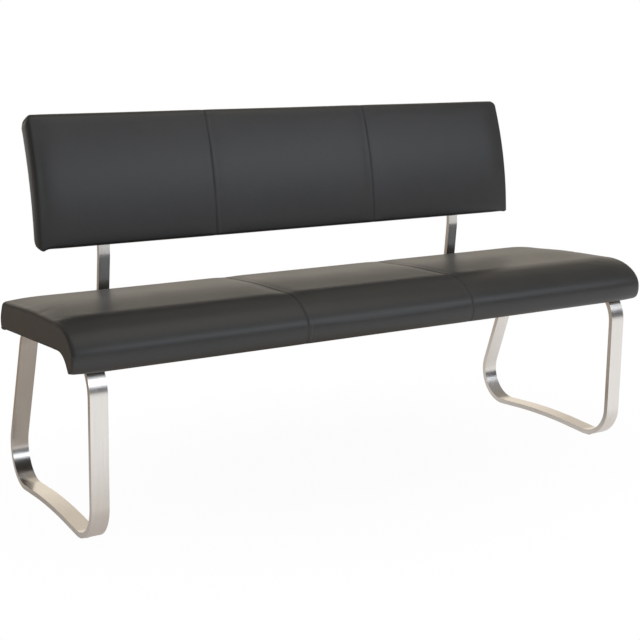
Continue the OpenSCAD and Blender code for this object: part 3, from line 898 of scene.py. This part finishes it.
@dataclass(frozen=True)
class SeatSection:
    """The seat pad's outline across the bench, from the rear hem over the roll to the front hem."""

    depth: float = 0.476
    thickness: float = 0.0645
    crown: float = 0.003
    top_steps: int = 36
    overhang: float = 0.018
    roll_length: float = 0.115
    roll_drop: float = 0.0695
    lip_drop: float = 0.043
    lip_thickness: float = 0.032
    lip_nose: float = 0.024
    heel_radius: float = 0.008
    hollow_radius: float = 0.056
    rear_top_radius: float = 0.038
    rear_foot_radius: float = 0.010
    hem: float = 0.034
    rear_share: float = 0.2
    foot_share: float = 0.6
    heel_angle: float = 60.0
    under_height: float = 0.425
    tilt: float = 3.0
    datum_y: float = 0.0

    @property
    def rear(self) -> float:
        """The rearmost line."""
        return self.depth - self.overhang

    @property
    def hollow(self) -> float:
        """Where the hollow behind the lip meets the flat underside."""
        angle = math.radians(self.heel_angle)
        rise = self.lip_drop - self.hollow_radius * (1 - math.cos(angle))
        back = rise / math.tan(angle) + self.hollow_radius * math.sin(angle)
        return self.lip_thickness - self.overhang + back

    def outline(self) -> np.ndarray:
        """Points of the outline.

        Returns:
            Rows of distance back, height, share of the end draw and share of the seams' depth.
        """
        front = -self.overhang
        roll = front + self.roll_length
        fore = self.thickness - self.roll_drop
        foot = self.rear - self.rear_foot_radius
        rear_top = self.rear - self.rear_top_radius
        drawn = self.rear_share
        rows: list[tuple[float, ...]] = [(foot - self.hem, 0.0, 0.0, 0.0)]
        rows += [(u, 0.0, 0.0, 0.2) for u in between(foot - self.hem, foot, 3)]
        for u, h, t in arc((foot, self.rear_foot_radius), self.rear_foot_radius, -90, 0, 5):
            rows.append((u, h, drawn * t, 0.3 + 0.5 * t))
        top = self.thickness - self.rear_top_radius
        rows += [(self.rear, h, drawn, 0.9) for h in between(self.rear_foot_radius, top, 3)]
        for u, h, t in arc((rear_top, top), self.rear_top_radius, 0, 90, 9):
            rows.append((u, h, drawn + (1 - drawn) * t, 1.0))
        for k in range(1, self.top_steps):
            t = k / self.top_steps
            rise = self.crown * math.sin(math.pi * t) ** 2
            rows.append((roll + (rear_top - roll) * (1 - t), self.thickness + rise, 1.0, 1.0))
        bend = arc((roll, fore), (self.roll_length, self.roll_drop), 90, 180, 22)
        rows += [(u, h, 1.0, 1.0) for u, h, _ in bend]
        nose = (front + self.lip_nose, fore)
        for u, h, t in arc(nose, (self.lip_nose, self.lip_drop + fore), 180, 270, 9)[1:]:
            rows.append((u, h, 1.0 - (1 - self.foot_share) * t, 1.0 - 0.4 * t))
        angle = self.heel_angle
        back = front + self.lip_thickness - self.heel_radius * math.tan(math.radians(angle / 2))
        heel = (back, self.heel_radius - self.lip_drop)
        for u, h, t in arc(heel, self.heel_radius, -90, angle - 90, 4):
            rows.append((u, h, self.foot_share * (1 - t), 0.6 - 0.3 * t))
        curve = arc((self.hollow, -self.hollow_radius), self.hollow_radius, 90 + angle, 90, 8)
        rows += [(u, h, 0.0, 0.3 * (1 - t)) for u, h, t in curve]
        rows += [(u, 0.0, 0.0, 0.0) for u in between(self.hollow, self.hollow + self.hem, 3)]
        rows.append((self.hollow + self.hem, 0.0, 0.0, 0.0))
        return np.array(rows)

    def place(self, x: float, points: np.ndarray) -> np.ndarray:
        """Puts section points into the bench's frame.

        Args:
            x: Place along the bench.
            points: Rows of distance back and height.

        Returns:
            Rows of X, Y and Z.
        """
        angle = math.radians(self.tilt)
        u, h = points[:, 0], points[:, 1]
        y = u * math.cos(angle) + h * math.sin(angle) + self.datum_y
        z = self.under_height - u * math.sin(angle) + h * math.cos(angle)
        return np.stack([np.full(len(points), x), y, z], axis=1)


@dataclass(frozen=True)
class BackSection:
    """The backrest pad's outline across the bench: foot, rear, top and face of a curved pad."""

    height: float = 0.315
    thickness: float = 0.050
    top_thickness: float = 0.061
    foot_height: float = 0.574
    face_radius: float = 0.855
    upright_height: float = 0.558
    face_y: float = 0.418
    to_board: float = 0.021
    top_front_radius: float = 0.018
    top_rear_radius: float = 0.020
    foot_rear_radius: float = 0.020
    foot_front_radius: float = 0.008
    rear_share: float = 0.6
    under_share: float = 0.4
    corner: float = 0.011
    datum_y: float = 0.0

    @property
    def board_radius(self) -> float:
        """The radius of the board's front face."""
        return self.face_radius - self.to_board

    def rear_at(self, rise: float) -> float:
        """The pad's rear face behind the board's front face, at a rise along the curve."""
        fuller = (self.top_thickness - self.thickness) * (rise / self.height)
        return self.thickness + fuller - self.to_board

    def outline(self) -> np.ndarray:
        """Points of the outline.

        Returns:
            Rows of distance back, rise, share of the end draw, of the seams' depth and of the
            rounded upper corner.
        """
        face = -self.to_board
        drawn = self.rear_share
        rows: list[tuple[float, ...]] = []
        radius = self.foot_rear_radius
        for a, s, t in arc((-radius, radius), radius, -90, 0, 7):
            rows.append((self.rear_at(s) + a, s, drawn, 0.5 + 0.5 * t, 0.0))
        radius = self.top_rear_radius
        top = self.height - radius
        rise = between(self.foot_rear_radius, top, 14)
        rows += [(self.rear_at(s), s, drawn, 1.0, 0.0) for s in rise]
        for a, s, t in arc((-radius, top), radius, 0, 90, 7):
            rows.append((self.rear_at(s) + a, s, drawn * (1 - t), 1.0, 0.5 + 0.5 * t))
        radius = self.top_front_radius
        across = between(self.rear_at(self.height) - self.top_rear_radius, face + radius, 3)
        rows += [(a, self.height, 0.0, 1.0, 1.0) for a in across]
        top = self.height - radius
        for a, s, t in arc((face + radius, top), radius, 90, 180, 7):
            rows.append((a, s, t, 1.0, 1.0 - 0.5 * t))
        rows += [(face, s, 1.0, 1.0, 0.0) for s in between(top, self.foot_front_radius, 22)]
        radius = self.foot_front_radius
        for a, s, t in arc((face + radius, radius), radius, 180, 270, 5):
            rows.append((a, s, 1.0 - (1 - self.under_share) * t, 1.0 - 0.5 * t, 0.0))
        under = between(face + radius, self.rear_at(0) - self.foot_rear_radius, 4)
        rows += [(a, 0.0, self.under_share, 0.5, 0.0) for a in under]
        return np.array(rows)

    def place(self, x: float, points: np.ndarray) -> np.ndarray:
        """Puts section points into the bench's frame, round the backrest's curve.

        Args:
            x: Place along the bench.
            points: Rows of distance back from the board's face and rise along it.

        Returns:
            Rows of X, Y and Z.
        """
        foot = math.asin((self.foot_height - self.upright_height) / self.board_radius)
        angle = foot + points[:, 1] / self.board_radius
        radius = self.board_radius - points[:, 0]
        y = self.face_y + self.face_radius + self.datum_y - radius * np.cos(angle)
        z = self.upright_height + radius * np.sin(angle)
        return np.stack([np.full(len(points), x), y, z], axis=1)


# Sewn covers


@dataclass(frozen=True)
class Crease:
    """A shallow pull in the cover, running in from an end seam."""

    side: Side
    along: float
    slope: float
    length: float
    width: float
    depth: float
    start: float = 0.008

    def at(self, side: Side, to_end: float, along: np.ndarray) -> np.ndarray:
        """How far the crease sinks each point.

        Args:
            side: Which end is nearer.
            to_end: Distance to that end.
            along: Distance along the outline.

        Returns:
            One depth per point.
        """
        if side != self.side or to_end >= self.length:
            return np.zeros(len(along))
        fade = (1 - to_end / self.length) * min(1.0, to_end / self.start)
        return self.depth * fade * near(along - self.along - self.slope * to_end, self.width)


@dataclass(frozen=True)
class Ripple:
    """One of the waves that a seam gathers in the cover."""

    height: float
    pitch: float
    wander: float
    wander_rate: float
    drift: float

    def at(self, x: float, along: np.ndarray) -> np.ndarray:
        """The wave at each distance along the outline, at a place along the bench."""
        shift = self.wander * np.sin(along * self.wander_rate) + self.drift * x
        return self.height * np.sin(along / self.pitch * 2 * math.pi + shift)


@dataclass
class SewnCover:
    """A pad's cover: panels side by side along X, joined by seams, and two end panels."""

    name: str
    section: SeatSection | BackSection
    closed: bool
    half: float
    seam: float
    draw: float
    crown_length: float
    filling: tuple[str, ...]
    palette: Palette
    thickness: float = 0.0011
    hem_thickness: float = 0.0008
    bulges: Pair = (0.0045, 0.0045)
    puff_width: float = 0.024
    puff_power: float = 0.8
    end_pitch: float = 0.0055
    end_clearance: float = 0.6
    end_groove: Pair = (0.0003, 0.0016)
    # Width of the end seam's darkening, partly dirt and partly painted shade.
    end_seam_shade: float = 0.0025
    hem_height: float = 0.0006
    ears: Pair = (0.0, 0.0)
    ear_place: float = 0.007
    ear_width: float = 0.008
    ear_height: float = 0.02
    ear_depth: float = 0.03
    seam_dip: float = 0.0005
    seam_hollow: float = 0.03
    # Widths of the seams' and ends' darkening, partly dirt and partly painted shade.
    seam_shade: float = 0.0035
    end_shade: float = 0.003
    groove_depth: float = 0.0005
    groove_width: float = 0.0012
    stitch_gap: float = 0.009
    stitch_dent: float = 0.0003
    stitch_dent_width: float = 0.0011
    stitched_edge: float = 0.0155
    edge_round: float = 0.005
    edge_share: float = 0.45
    cap: float = 0.0014
    held_share: float = 0.55
    sewn_share: float = 0.25
    skew: float = 0.0
    skew_length: float = 0.3
    pucker_depth: float = 0.0003
    pucker_length: float = 0.011
    pucker_start: float = 0.004
    ripples: tuple[Ripple, ...] = (
        Ripple(height=1.0, pitch=0.0155, wander=1.3, wander_rate=41, drift=9),
        Ripple(height=0.6, pitch=0.0093, wander=2.1, wander_rate=67, drift=-7),
    )
    creases: tuple[Crease, ...] = ()
    rear_corner: float = 0.02
    rear_corner_depth: float = 0.05
    over_board: float = 0.02
    board_share: float = 0.55
    corner_fold: float = 0.0065
    fold_height: float = 0.03
    fold_at: Pair = (0.004, 0.026)
    fold_width: Pair = (0.011, 0.019)
    base: np.ndarray = field(init=False)

    def __post_init__(self) -> None:
        """Works out the section's outline once."""
        self.base = self.section.outline()

    def stations(self, start: float, end: float) -> list[float]:
        """Places of a panel's rings, close together near its seams and ends.

        Args:
            start: The panel's left edge.
            end: Its right edge.

        Returns:
            The places, from left to right.
        """
        close = [0.0, 0.0006, 0.0014, 0.0026, 0.0048]
        close += [self.stitch_gap + step for step in (-0.0016, -0.0006, 0.0006, 0.0016)]
        close += [0.0145, 0.0195, 0.0255, 0.033]
        step = 0.013
        count = max(2, round((end - start - 2 * close[-1]) / step))
        middle = between(start + close[-1], end - close[-1], count)
        return [start + n for n in close] + middle + [end - n for n in reversed(close)]

    def depth_at(self, x: float) -> Triple:
        """How deep the cover lies under its crown at a place along the bench.

        Args:
            x: The place.

        Returns:
            The end's draw, the seam's hollow with its groove, and the share of the seams' and ends'
            darkening, partly dirt and partly painted shade.
        """
        to_end = self.half - abs(x)
        to_seam = abs(abs(x) - self.seam)
        fall = self.draw * max(0.0, 1 - to_end / self.crown_length) ** 2
        dip = self.seam_dip * max(0.0, 1 - to_seam / self.seam_hollow) ** 3
        dip += self.groove_depth * near(to_seam, self.groove_width)
        if abs(x) < self.seam:
            dip += self.stitch_dent * near(to_seam - self.stitch_gap, self.stitch_dent_width)
        # Darkening near seams and ends: partly dirt, partly painted shade in the grooves.
        shaded = near(to_seam, self.seam_shade) + 0.8 * near(to_end, self.end_shade)
        edge = self.edge_share * rounded(to_end, self.edge_round)
        return fall + edge, dip, min(1.0, shaded)

    def pucker(self, x: float, along: np.ndarray) -> np.ndarray:
        """Small ripples where a seam gathers the cover, with the pulls at its ends.

        Args:
            x: The place along the bench.
            along: Distance along the outline.

        Returns:
            How far each point sinks.
        """
        to_end = self.half - abs(x)
        to_seam = min(abs(abs(x) - self.seam), to_end)
        fade = math.exp(-to_seam / self.pucker_length) * min(1.0, to_seam / self.pucker_start)
        waves = sum(ripple.at(x, along) for ripple in self.ripples)
        side = Side.LEFT if x < 0 else Side.RIGHT
        pulls = sum(crease.at(side, to_end, along) for crease in self.creases)
        return self.pucker_depth * fade * waves + pulls

    def gather(self, x: float, u: np.ndarray) -> np.ndarray:
        """How far the folded leather hangs under the seat's rear corner, at distances back."""
        out, back = self.half - abs(x) - self.fold_at[0], self.section.rear - u - self.fold_at[1]
        return self.corner_fold * near(out, self.fold_width[0]) * near(back, self.fold_width[1])

    def back_corners(self, x: float, moved: np.ndarray) -> None:
        """Rounds the backrest's upper corners and lets its small ears hang at the lower ones.

        Args:
            x: The place along the bench.
            moved: The line's points, which are changed.
        """
        to_end = self.half - abs(x)
        moved[:, 1] -= rounded(to_end, self.section.corner) * self.base[:, 4]
        low = share(1 - self.base[:, 1] / self.ear_height)
        low = low * share(1 - (self.base[:, 0] + self.section.to_board) / self.ear_depth)
        moved[:, 1] -= self.ears[int(x > 0)] * near(to_end - self.ear_place, self.ear_width) * low

    def seat_corners(self, x: float, moved: np.ndarray) -> None:
        """Rounds the seat's rear corners, less beside the board, and hangs the fold under them.

        Args:
            x: The place along the bench.
            moved: The line's points, which are changed.
        """
        back, high = self.base[:, 0], self.base[:, 1]
        near_rear = share(1 - (self.section.rear - back) / self.rear_corner_depth)
        above = share((high - self.over_board) / self.over_board)
        kept = near_rear * (self.board_share + (1 - self.board_share) * above)
        moved[:, 0] -= rounded(self.half - abs(x), self.rear_corner) * kept
        moved[:, 1] -= self.gather(x, back) * share(1 - high / self.fold_height)

    def ring(self, x: float, inner: float = 0.0) -> np.ndarray:
        """The cover's line at one place.

        Args:
            x: The place along the bench.
            inner: A further distance inwards.

        Returns:
            Rows of X, Y and Z.
        """
        draw, dip, _ = self.depth_at(x)
        line = self.base[:, :2]
        sunk = dip + self.pucker(x, lengths_along(line))
        depth = draw * self.base[:, 2] + sunk * self.base[:, 3] + inner
        moved = line - outward_normals(line, self.closed) * depth[:, None]
        if isinstance(self.section, BackSection):
            self.back_corners(x, moved)
        else:
            self.seat_corners(x, moved)
        placed = self.section.place(x, moved)
        if self.skew:
            inland = min(1.0, (self.half - abs(x)) / self.skew_length)
            placed[:, 0] += self.skew * inland * share(self.base[:, 0] / self.section.rear)
        return placed

    def panel(self, label: str, start: float, end: float) -> None:
        """Makes one panel.

        Args:
            label: Which panel: left, middle or right.
            start: Its left edge.
            end: Its right edge.
        """
        places = self.stations(start, end)
        rings = [self.ring(x) for x in places]
        per = len(rings[0])
        faces = grid_faces(len(rings), per, self.closed)
        piece = mesh_piece(f"{self.name}_{label}_panel", np.concatenate(rings), faces)
        free = [min(x - start, end - x) > self.stitched_edge for x in places]
        held = [
            k * per + i
            for k in range(len(rings))
            for i in range(per)
            if not free[k] or self.base[i, 3] < self.held_share
        ]
        inflate(piece, held, self.cap)
        # The seam mask darkens the leather here: partly dirt, partly painted shade.
        mark_seams(piece, np.repeat([self.depth_at(x)[2] for x in places], per))
        smooth = piece.modifiers.new("Smooth", "SUBSURF")
        smooth.levels = smooth.render_levels = 1
        applied(piece)
        thickened(piece, self.thickness, -1)
        self.palette.dress(piece, Finish.LEATHER)
        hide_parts(f"{self.name}_{label}", *(self.filling if label == "middle" else ()))
        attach(piece, ROOT)

    def end_panel(self, label: str, side: Side) -> None:
        """Makes one end panel, puffed out between its seams.

        Args:
            label: Which panel: left_end or right_end.
            side: Which end it is.
        """
        line = self.ring(side * self.half)[:, 1:]
        lows, highs = line.min(axis=0), line.max(axis=0)
        pitch = self.end_pitch
        axes = [np.arange(low, high, pitch) for low, high in zip(lows, highs, strict=True)]
        grid = np.stack(np.meshgrid(*axes), axis=-1).reshape(-1, 2)
        grid = grid[distance_to(line, grid) > pitch * self.end_clearance]
        flat = [Vector(p) for p in np.concatenate([line, grid])]
        count = len(line)
        rim = [(i, (i + 1) % count) for i in range(count)]
        inside_only, merge = 1, 1e-6
        found = delaunay_2d_cdt(flat, rim, [], inside_only, merge)
        spots = np.array([tuple(p) for p in found[0]])
        away = distance_to(line, spots)
        puff = share(away / self.puff_width)
        proud = self.bulges[int(side > 0)] * (puff * (2 - puff)) ** self.puff_power
        proud -= self.end_groove[0] * near(away, self.end_groove[1])
        points = np.column_stack([side * (self.half + proud), spots])
        faces = [tuple(f) if side > 0 else tuple(f)[::-1] for f in found[2]]
        piece = mesh_piece(f"{self.name}_{label}_panel", points, faces)
        if piece.data.polygons[len(faces) // 2].normal.x * side < 0:
            piece.data.flip_normals()
        # Darkens the leather along the end seam: partly dirt, partly painted shade.
        mark_seams(piece, near(away, self.end_seam_shade))
        self.palette.dress(piece, Finish.LEATHER)
        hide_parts(f"{self.name}_{label}")
        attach(piece, ROOT)
        if not self.closed:
            self.end_hem(label, side)

    def end_hem(self, label: str, side: Side, rows: int = 5, per: int = 30) -> None:
        """Makes the strip of an end panel that folds under the board.

        Args:
            label: The end panel's label.
            side: Which end it is.
            rows: Rows of points from the end inwards.
            per: Points in a row.
        """
        section = self.section
        back = np.linspace(section.rear - section.rear_foot_radius, section.hollow, per)
        strip = []
        for k in range(rows):
            x = side * self.half - side * section.hem * k / (rows - 1)
            low = self.hem_height - self.gather(x, back)
            strip.append(section.place(x, np.stack([back, low], axis=1)))
        points = np.concatenate(strip)
        piece = mesh_piece(f"{self.name}_{label}_hem", points, grid_faces(rows, per))
        thickened(piece, self.hem_thickness, 0)
        self.palette.dress(piece, Finish.LEATHER)
        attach(piece, ROOT)

    def stitches(self, label: str, x: float, first: int, last: int) -> None:
        """Makes one row of topstitching.

        Args:
            label: The row's name.
            x: Its place along the bench.
            first: The outline's first sewn point.
            last: The outline's last sewn point.
        """
        lift, ahead, end_dip = 0.0001, 0.001, 0.0006
        length, pitch, radius, sides = 0.0042, 0.006, 0.00034, 6
        line = self.ring(x, -lift)[first:last]
        lengths = lengths_along(line)
        profile = [(-0.5, 0.25), (-0.42, 0.8), (-0.2, 1.0), (0.2, 1.0), (0.42, 0.8), (0.5, 0.25)]
        points: list[Vector] = []
        faces: list[Face] = []

        def spot(way: float) -> Vector:
            """The point of the line at a distance along it."""
            return Vector([float(np.interp(way, lengths, line[:, c])) for c in range(3)])

        side = Vector((1, 0, 0))
        for n in range(int(lengths[-1] / pitch)):
            middle = (n + 0.5) * pitch
            at = spot(middle)
            along = (spot(middle + ahead) - at).normalized()
            out = along.cross(side).normalized()
            base = len(points)
            for part, girth in profile:
                sink = -end_dip * (2 * part) ** 2
                for k in range(sides):
                    angle = 2 * math.pi * k / sides
                    offset = (side * math.cos(angle) + out * math.sin(angle)) * radius * girth
                    points.append(at + along * (part * length) + out * sink + offset)
            faces += grid_faces(len(profile), sides, closed=True, first=base)
            faces.append(tuple(base + k for k in reversed(range(sides))))
            faces.append(tuple(base + (len(profile) - 1) * sides + k for k in range(sides)))
        piece = mesh_piece(f"{self.name}_{label}", points, faces)
        self.palette.dress(piece, Finish.LEATHER, self.palette.thread)
        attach(piece, ROOT)

    def build(self) -> None:
        """Makes the panels, the end panels and the topstitching."""
        self.panel("left", -self.half, -self.seam)
        self.panel("middle", -self.seam, self.seam)
        self.panel("right", self.seam, self.half)
        self.end_panel("left_end", Side.LEFT)
        self.end_panel("right_end", Side.RIGHT)
        sewn = np.nonzero(self.base[:, 3] > self.sewn_share)[0]
        inside = self.seam - self.stitch_gap
        self.stitches("left_topstitch", -inside, int(sewn[0]), int(sewn[-1]) + 1)
        self.stitches("right_topstitch", inside, int(sewn[0]), int(sewn[-1]) + 1)


# Underframe, brackets and what lies under the seat


@dataclass
class BarWork:
    """The side frames and brackets: bent flat bar with broken edges."""

    frame_nodes: dict[str, Piece]
    palette: Palette
    edge: float = 0.0011

    def build(self) -> None:
        """Makes each bar from its solid."""
        for name in ("left_side_frame", "right_side_frame", "left_bracket", "right_bracket"):
            piece = bevelled_copy(self.frame_nodes[name], f"{name}_bar", self.edge)
            self.palette.dress(piece, Finish.STAINLESS)
            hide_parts(name)
            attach(piece, ROOT)


@dataclass
class DustCover:
    """Thin black cloth stapled under the seat board."""

    section: SeatSection
    half: float
    palette: Palette
    inset: float = 0.014
    thickness: float = 0.0005
    below_board: float = 0.0002
    ripple: float = 0.00025
    ripple_length: float = 0.012
    edge_strip: float = 0.02
    grid: tuple[int, int] = (140, 40)
    staple_pitch: float = 0.045
    staple_inset: float = 0.008
    staple_crown: float = 0.0095
    staple_wire: float = 0.0007
    staple_heights: Pair = (-0.0015, -0.0004)

    def at(self, x: float, u: float, h: float) -> Vector:
        """The bench-frame point at a place along the seat, a distance back and a height."""
        return Vector(self.section.place(x, np.array([[u, h]]))[0])

    def build(self) -> None:
        """Makes the cloth and its staples."""
        half = self.half - self.inset
        front = self.section.hollow + self.inset
        rear = self.section.rear - self.section.rear_foot_radius - self.inset
        across, along = self.grid
        points = []
        for k in range(across + 1):
            x = -half + 2 * half * k / across
            for i in range(along + 1):
                u = front + (rear - front) * i / along
                way = x if min(u - front, rear - u) < self.edge_strip else u
                pull = 0.5 + 0.5 * math.cos(2 * math.pi * way / self.staple_pitch)
                to_edge = min(half - abs(x), u - front, rear - u)
                drop = self.ripple * pull * math.exp(-to_edge / self.ripple_length)
                points.append(self.at(x, u, -self.below_board - drop))
        faces = grid_faces(across + 1, along + 1, flipped=True)
        cloth = mesh_piece("dust_cover_cloth", points, faces)
        thickened(cloth, self.thickness, 0)
        self.palette.dress(cloth, Finish.DUST_CLOTH)
        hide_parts("dust_cover")
        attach(cloth, ROOT)
        2 * half
        rear - front
        self.staples(half, front, rear)

    def staples(self, half: float, front: float, rear: float) -> None:
        """Makes the staples round the cloth's edge.

        Args:
            half: Half the cloth's length.
            front: Its front edge.
            rear: Its rear edge.
        """
        edge = self.staple_inset
        long, short = self.staple_crown / 2, self.staple_wire / 2
        spots: list[tuple[float, float, float, float]] = []
        count = int(2 * half / self.staple_pitch)
        for n in range(count + 1):
            x = -half + edge + (2 * half - 2 * edge) * n / count
            spots += [(x, front + edge, long, short), (x, rear - edge, long, short)]
        for u in between(front, rear, int((rear - front) / self.staple_pitch)):
            spots += [(-half + edge, u, short, long), (half - edge, u, short, long)]
        points: list[Vector] = []
        faces: list[Face] = []
        for x, u, dx, du in spots:
            base = len(points)
            for h in self.staple_heights:
                corners = ((-1, -1), (1, -1), (1, 1), (-1, 1))
                points += [self.at(x + sx * dx, u + su * du, h) for sx, su in corners]
            faces.append((base + 3, base + 2, base + 1, base))
            faces.append((base + 4, base + 5, base + 6, base + 7))
            faces += grid_faces(2, 4, closed=True, first=base)
        piece = mesh_piece("dust_cover_staples", points, faces)
        shade(piece.data, False)
        self.palette.dress(piece, Finish.ZINC)
        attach(piece, ROOT)


@dataclass
class CarriedPieces:
    """The boards, stiffener, glides and fasteners, which keep their solids' own shape."""

    frame_nodes: dict[str, Piece]
    palette: Palette

    def build(self) -> None:
        """Dresses each piece."""
        finishes = dict.fromkeys(("seat_board", "back_board"), Finish.PLYWOOD)
        finishes["seat_stiffener"] = Finish.BLACK_STEEL
        finishes["stiffener_screws"] = Finish.ZINC
        for place in ("frame", "bracket"):
            for kind in ("bolts", "washers", "tee_nuts"):
                finishes[f"{place}_{kind}"] = Finish.ZINC
        finishes["back_bolts"] = finishes["back_tee_nuts"] = Finish.ZINC
        for end in ("front", "rear"):
            for side in ("left", "right"):
                finishes[f"{end}_{side}_glide"] = Finish.GLIDE_PLASTIC
        for name, finish in finishes.items():
            shade(self.frame_nodes[name].data, False)
            self.palette.dress(self.frame_nodes[name], finish)


# Studio


@dataclass(frozen=True)
class Lamp:
    """A soft rectangular lamp: where it hangs and points, its size, watts and colour."""

    name: str
    place: Triple
    aim: Triple
    size: Pair
    power: float
    colour: Triple

    def build(self) -> None:
        """Hangs the lamp."""
        data = bpy.data.lights.new(self.name, "AREA")
        data.shape = "RECTANGLE"
        data.size, data.size_y = self.size
        data.energy = self.power
        data.color = self.colour
        lamp = linked(self.name, data)
        lamp.location = self.place
        way = Vector(self.aim) - Vector(self.place)
        lamp.rotation_euler = way.to_track_quat("-Z", "Y").to_euler()


@dataclass
class Studio:
    """Floor, light and camera."""

    camera_place: Triple = (-1.6758, -2.7055, 1.0476)
    yaw: float = 0.5455
    pitch: float = 0.1526
    lens: float = 73.384
    sensor: float = 36
    shift: float = -0.12
    clip: Pair = (0.05, 60)
    floor_size: float = 14.0
    lamps: tuple[Lamp, ...] = (
        Lamp("above", (0.3, -0.7, 2.8), (0, 0, 0.4), (2.8, 2.2), 15.5, (1.0, 0.97, 0.93)),
        Lamp("behind", (1.1, 2.3, 2.2), (0.2, 0, 0.4), (2.6, 1.4), 4, (1.0, 0.87, 0.72)),
        Lamp("window", (1.3, -2.9, 1.84), (-0.1, 0.15, 0.7), (3.4, 1.15), 29, (0.86, 0.92, 1.0)),
    )

    def build(self) -> None:
        """Makes the floor, the surround, the lamps and the camera."""
        self.floor()
        world = bpy.data.worlds.new("studio_surround")
        bpy.context.scene.world = world
        Surround().build(world)
        for lamp in self.lamps:
            lamp.build()
        self.camera()

    def floor(self) -> None:
        """A plain pale floor."""
        s = self.floor_size
        corners = [(-s, -s, 0), (s, -s, 0), (s, s, 0), (-s, s, 0)]
        floor = mesh_piece("studio_floor", corners, [(0, 1, 2, 3)])
        floor.data.materials.append(StudioPaper().material())
        log.info("%s: %d face", floor.name, len(floor.data.polygons))

    def camera(self) -> None:
        """The camera at the photograph's angle."""
        data = bpy.data.cameras.new("photo_camera")
        data.sensor_width = self.sensor
        data.lens = self.lens
        data.shift_y = self.shift
        data.clip_start, data.clip_end = self.clip
        camera = linked("photo_camera", data)
        camera.location = self.camera_place
        level = math.cos(self.pitch)
        forward = (math.sin(self.yaw) * level, math.cos(self.yaw) * level, -math.sin(self.pitch))
        camera.rotation_euler = Vector(forward).to_track_quat("-Z", "Y").to_euler()
        bpy.context.scene.camera = camera


@dataclass(frozen=True)
class BenchLines:
    """The driving lines that the scene shares with the solids."""

    frame_rear: float = 0.532
    seat_draw: float = 0.0045
    seat_crown: float = 0.085
    back_draw: float = 0.004
    back_crown: float = 0.060
    cover: float = 0.0012

    def datum_y(self) -> float:
        """How far the front of the legs lies behind the frame's origin, as a signed shift."""
        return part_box("left_side_frame")[1].y - self.frame_rear

    def half(self, node: str) -> float:
        """Half the length between a pad's end panels, from the right end panel's node."""
        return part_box(node)[1].x - self.cover

    def seam(self, node: str) -> float:
        """The distance from the middle to the seams, from the middle panel's node."""
        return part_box(node)[1].x


def main() -> None:
    """Builds the bench and its studio."""
    logging.basicConfig(level=logging.INFO, format="%(name)s %(message)s")
    bpy.ops.wm.read_factory_settings(use_empty=True)
    scene = bpy.context.scene
    scene.unit_settings.system = "METRIC"
    scene.view_settings.view_transform = "Standard"
    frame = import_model()
    nodes = frame["nodes"]
    palette = Palette()
    lines = BenchLines()
    datum_y = lines.datum_y()
    Studio().build()
    seat_section = SeatSection(datum_y=datum_y)
    seat = SewnCover(
        name="seat_cover",
        section=seat_section,
        closed=False,
        half=lines.half("seat_cover_right_end"),
        seam=lines.seam("seat_cover_middle"),
        draw=lines.seat_draw,
        crown_length=lines.seat_crown,
        filling=("seat_foam",),
        palette=palette,
        bulges=(0.0, 0.010),
        edge_round=0.009,
        skew=0.022,
        creases=(
            Crease(Side.LEFT, along=0.25, slope=-0.4, length=0.11, width=0.010, depth=0.0010),
            Crease(Side.LEFT, along=0.36, slope=-0.6, length=0.09, width=0.009, depth=0.0012),
            Crease(Side.LEFT, along=0.44, slope=0.4, length=0.07, width=0.009, depth=0.0008),
            Crease(Side.RIGHT, along=0.33, slope=-0.5, length=0.08, width=0.010, depth=0.0007),
        ),
    )
    seat.build()
    back = SewnCover(
        name="back_cover",
        section=BackSection(datum_y=datum_y),
        closed=True,
        half=lines.half("back_cover_right_end"),
        seam=lines.seam("back_cover_middle"),
        draw=lines.back_draw,
        crown_length=lines.back_crown,
        filling=("back_foam", "back_rear_padding"),
        palette=palette,
        puff_width=0.02,
        ears=(0.007, 0.003),
        cap=0.0016,
    )
    back.build()
    BarWork(nodes, palette).build()
    DustCover(seat_section, seat.half, palette).build()
    CarriedPieces(nodes, palette).build()


if __name__ == "__main__":
    main()
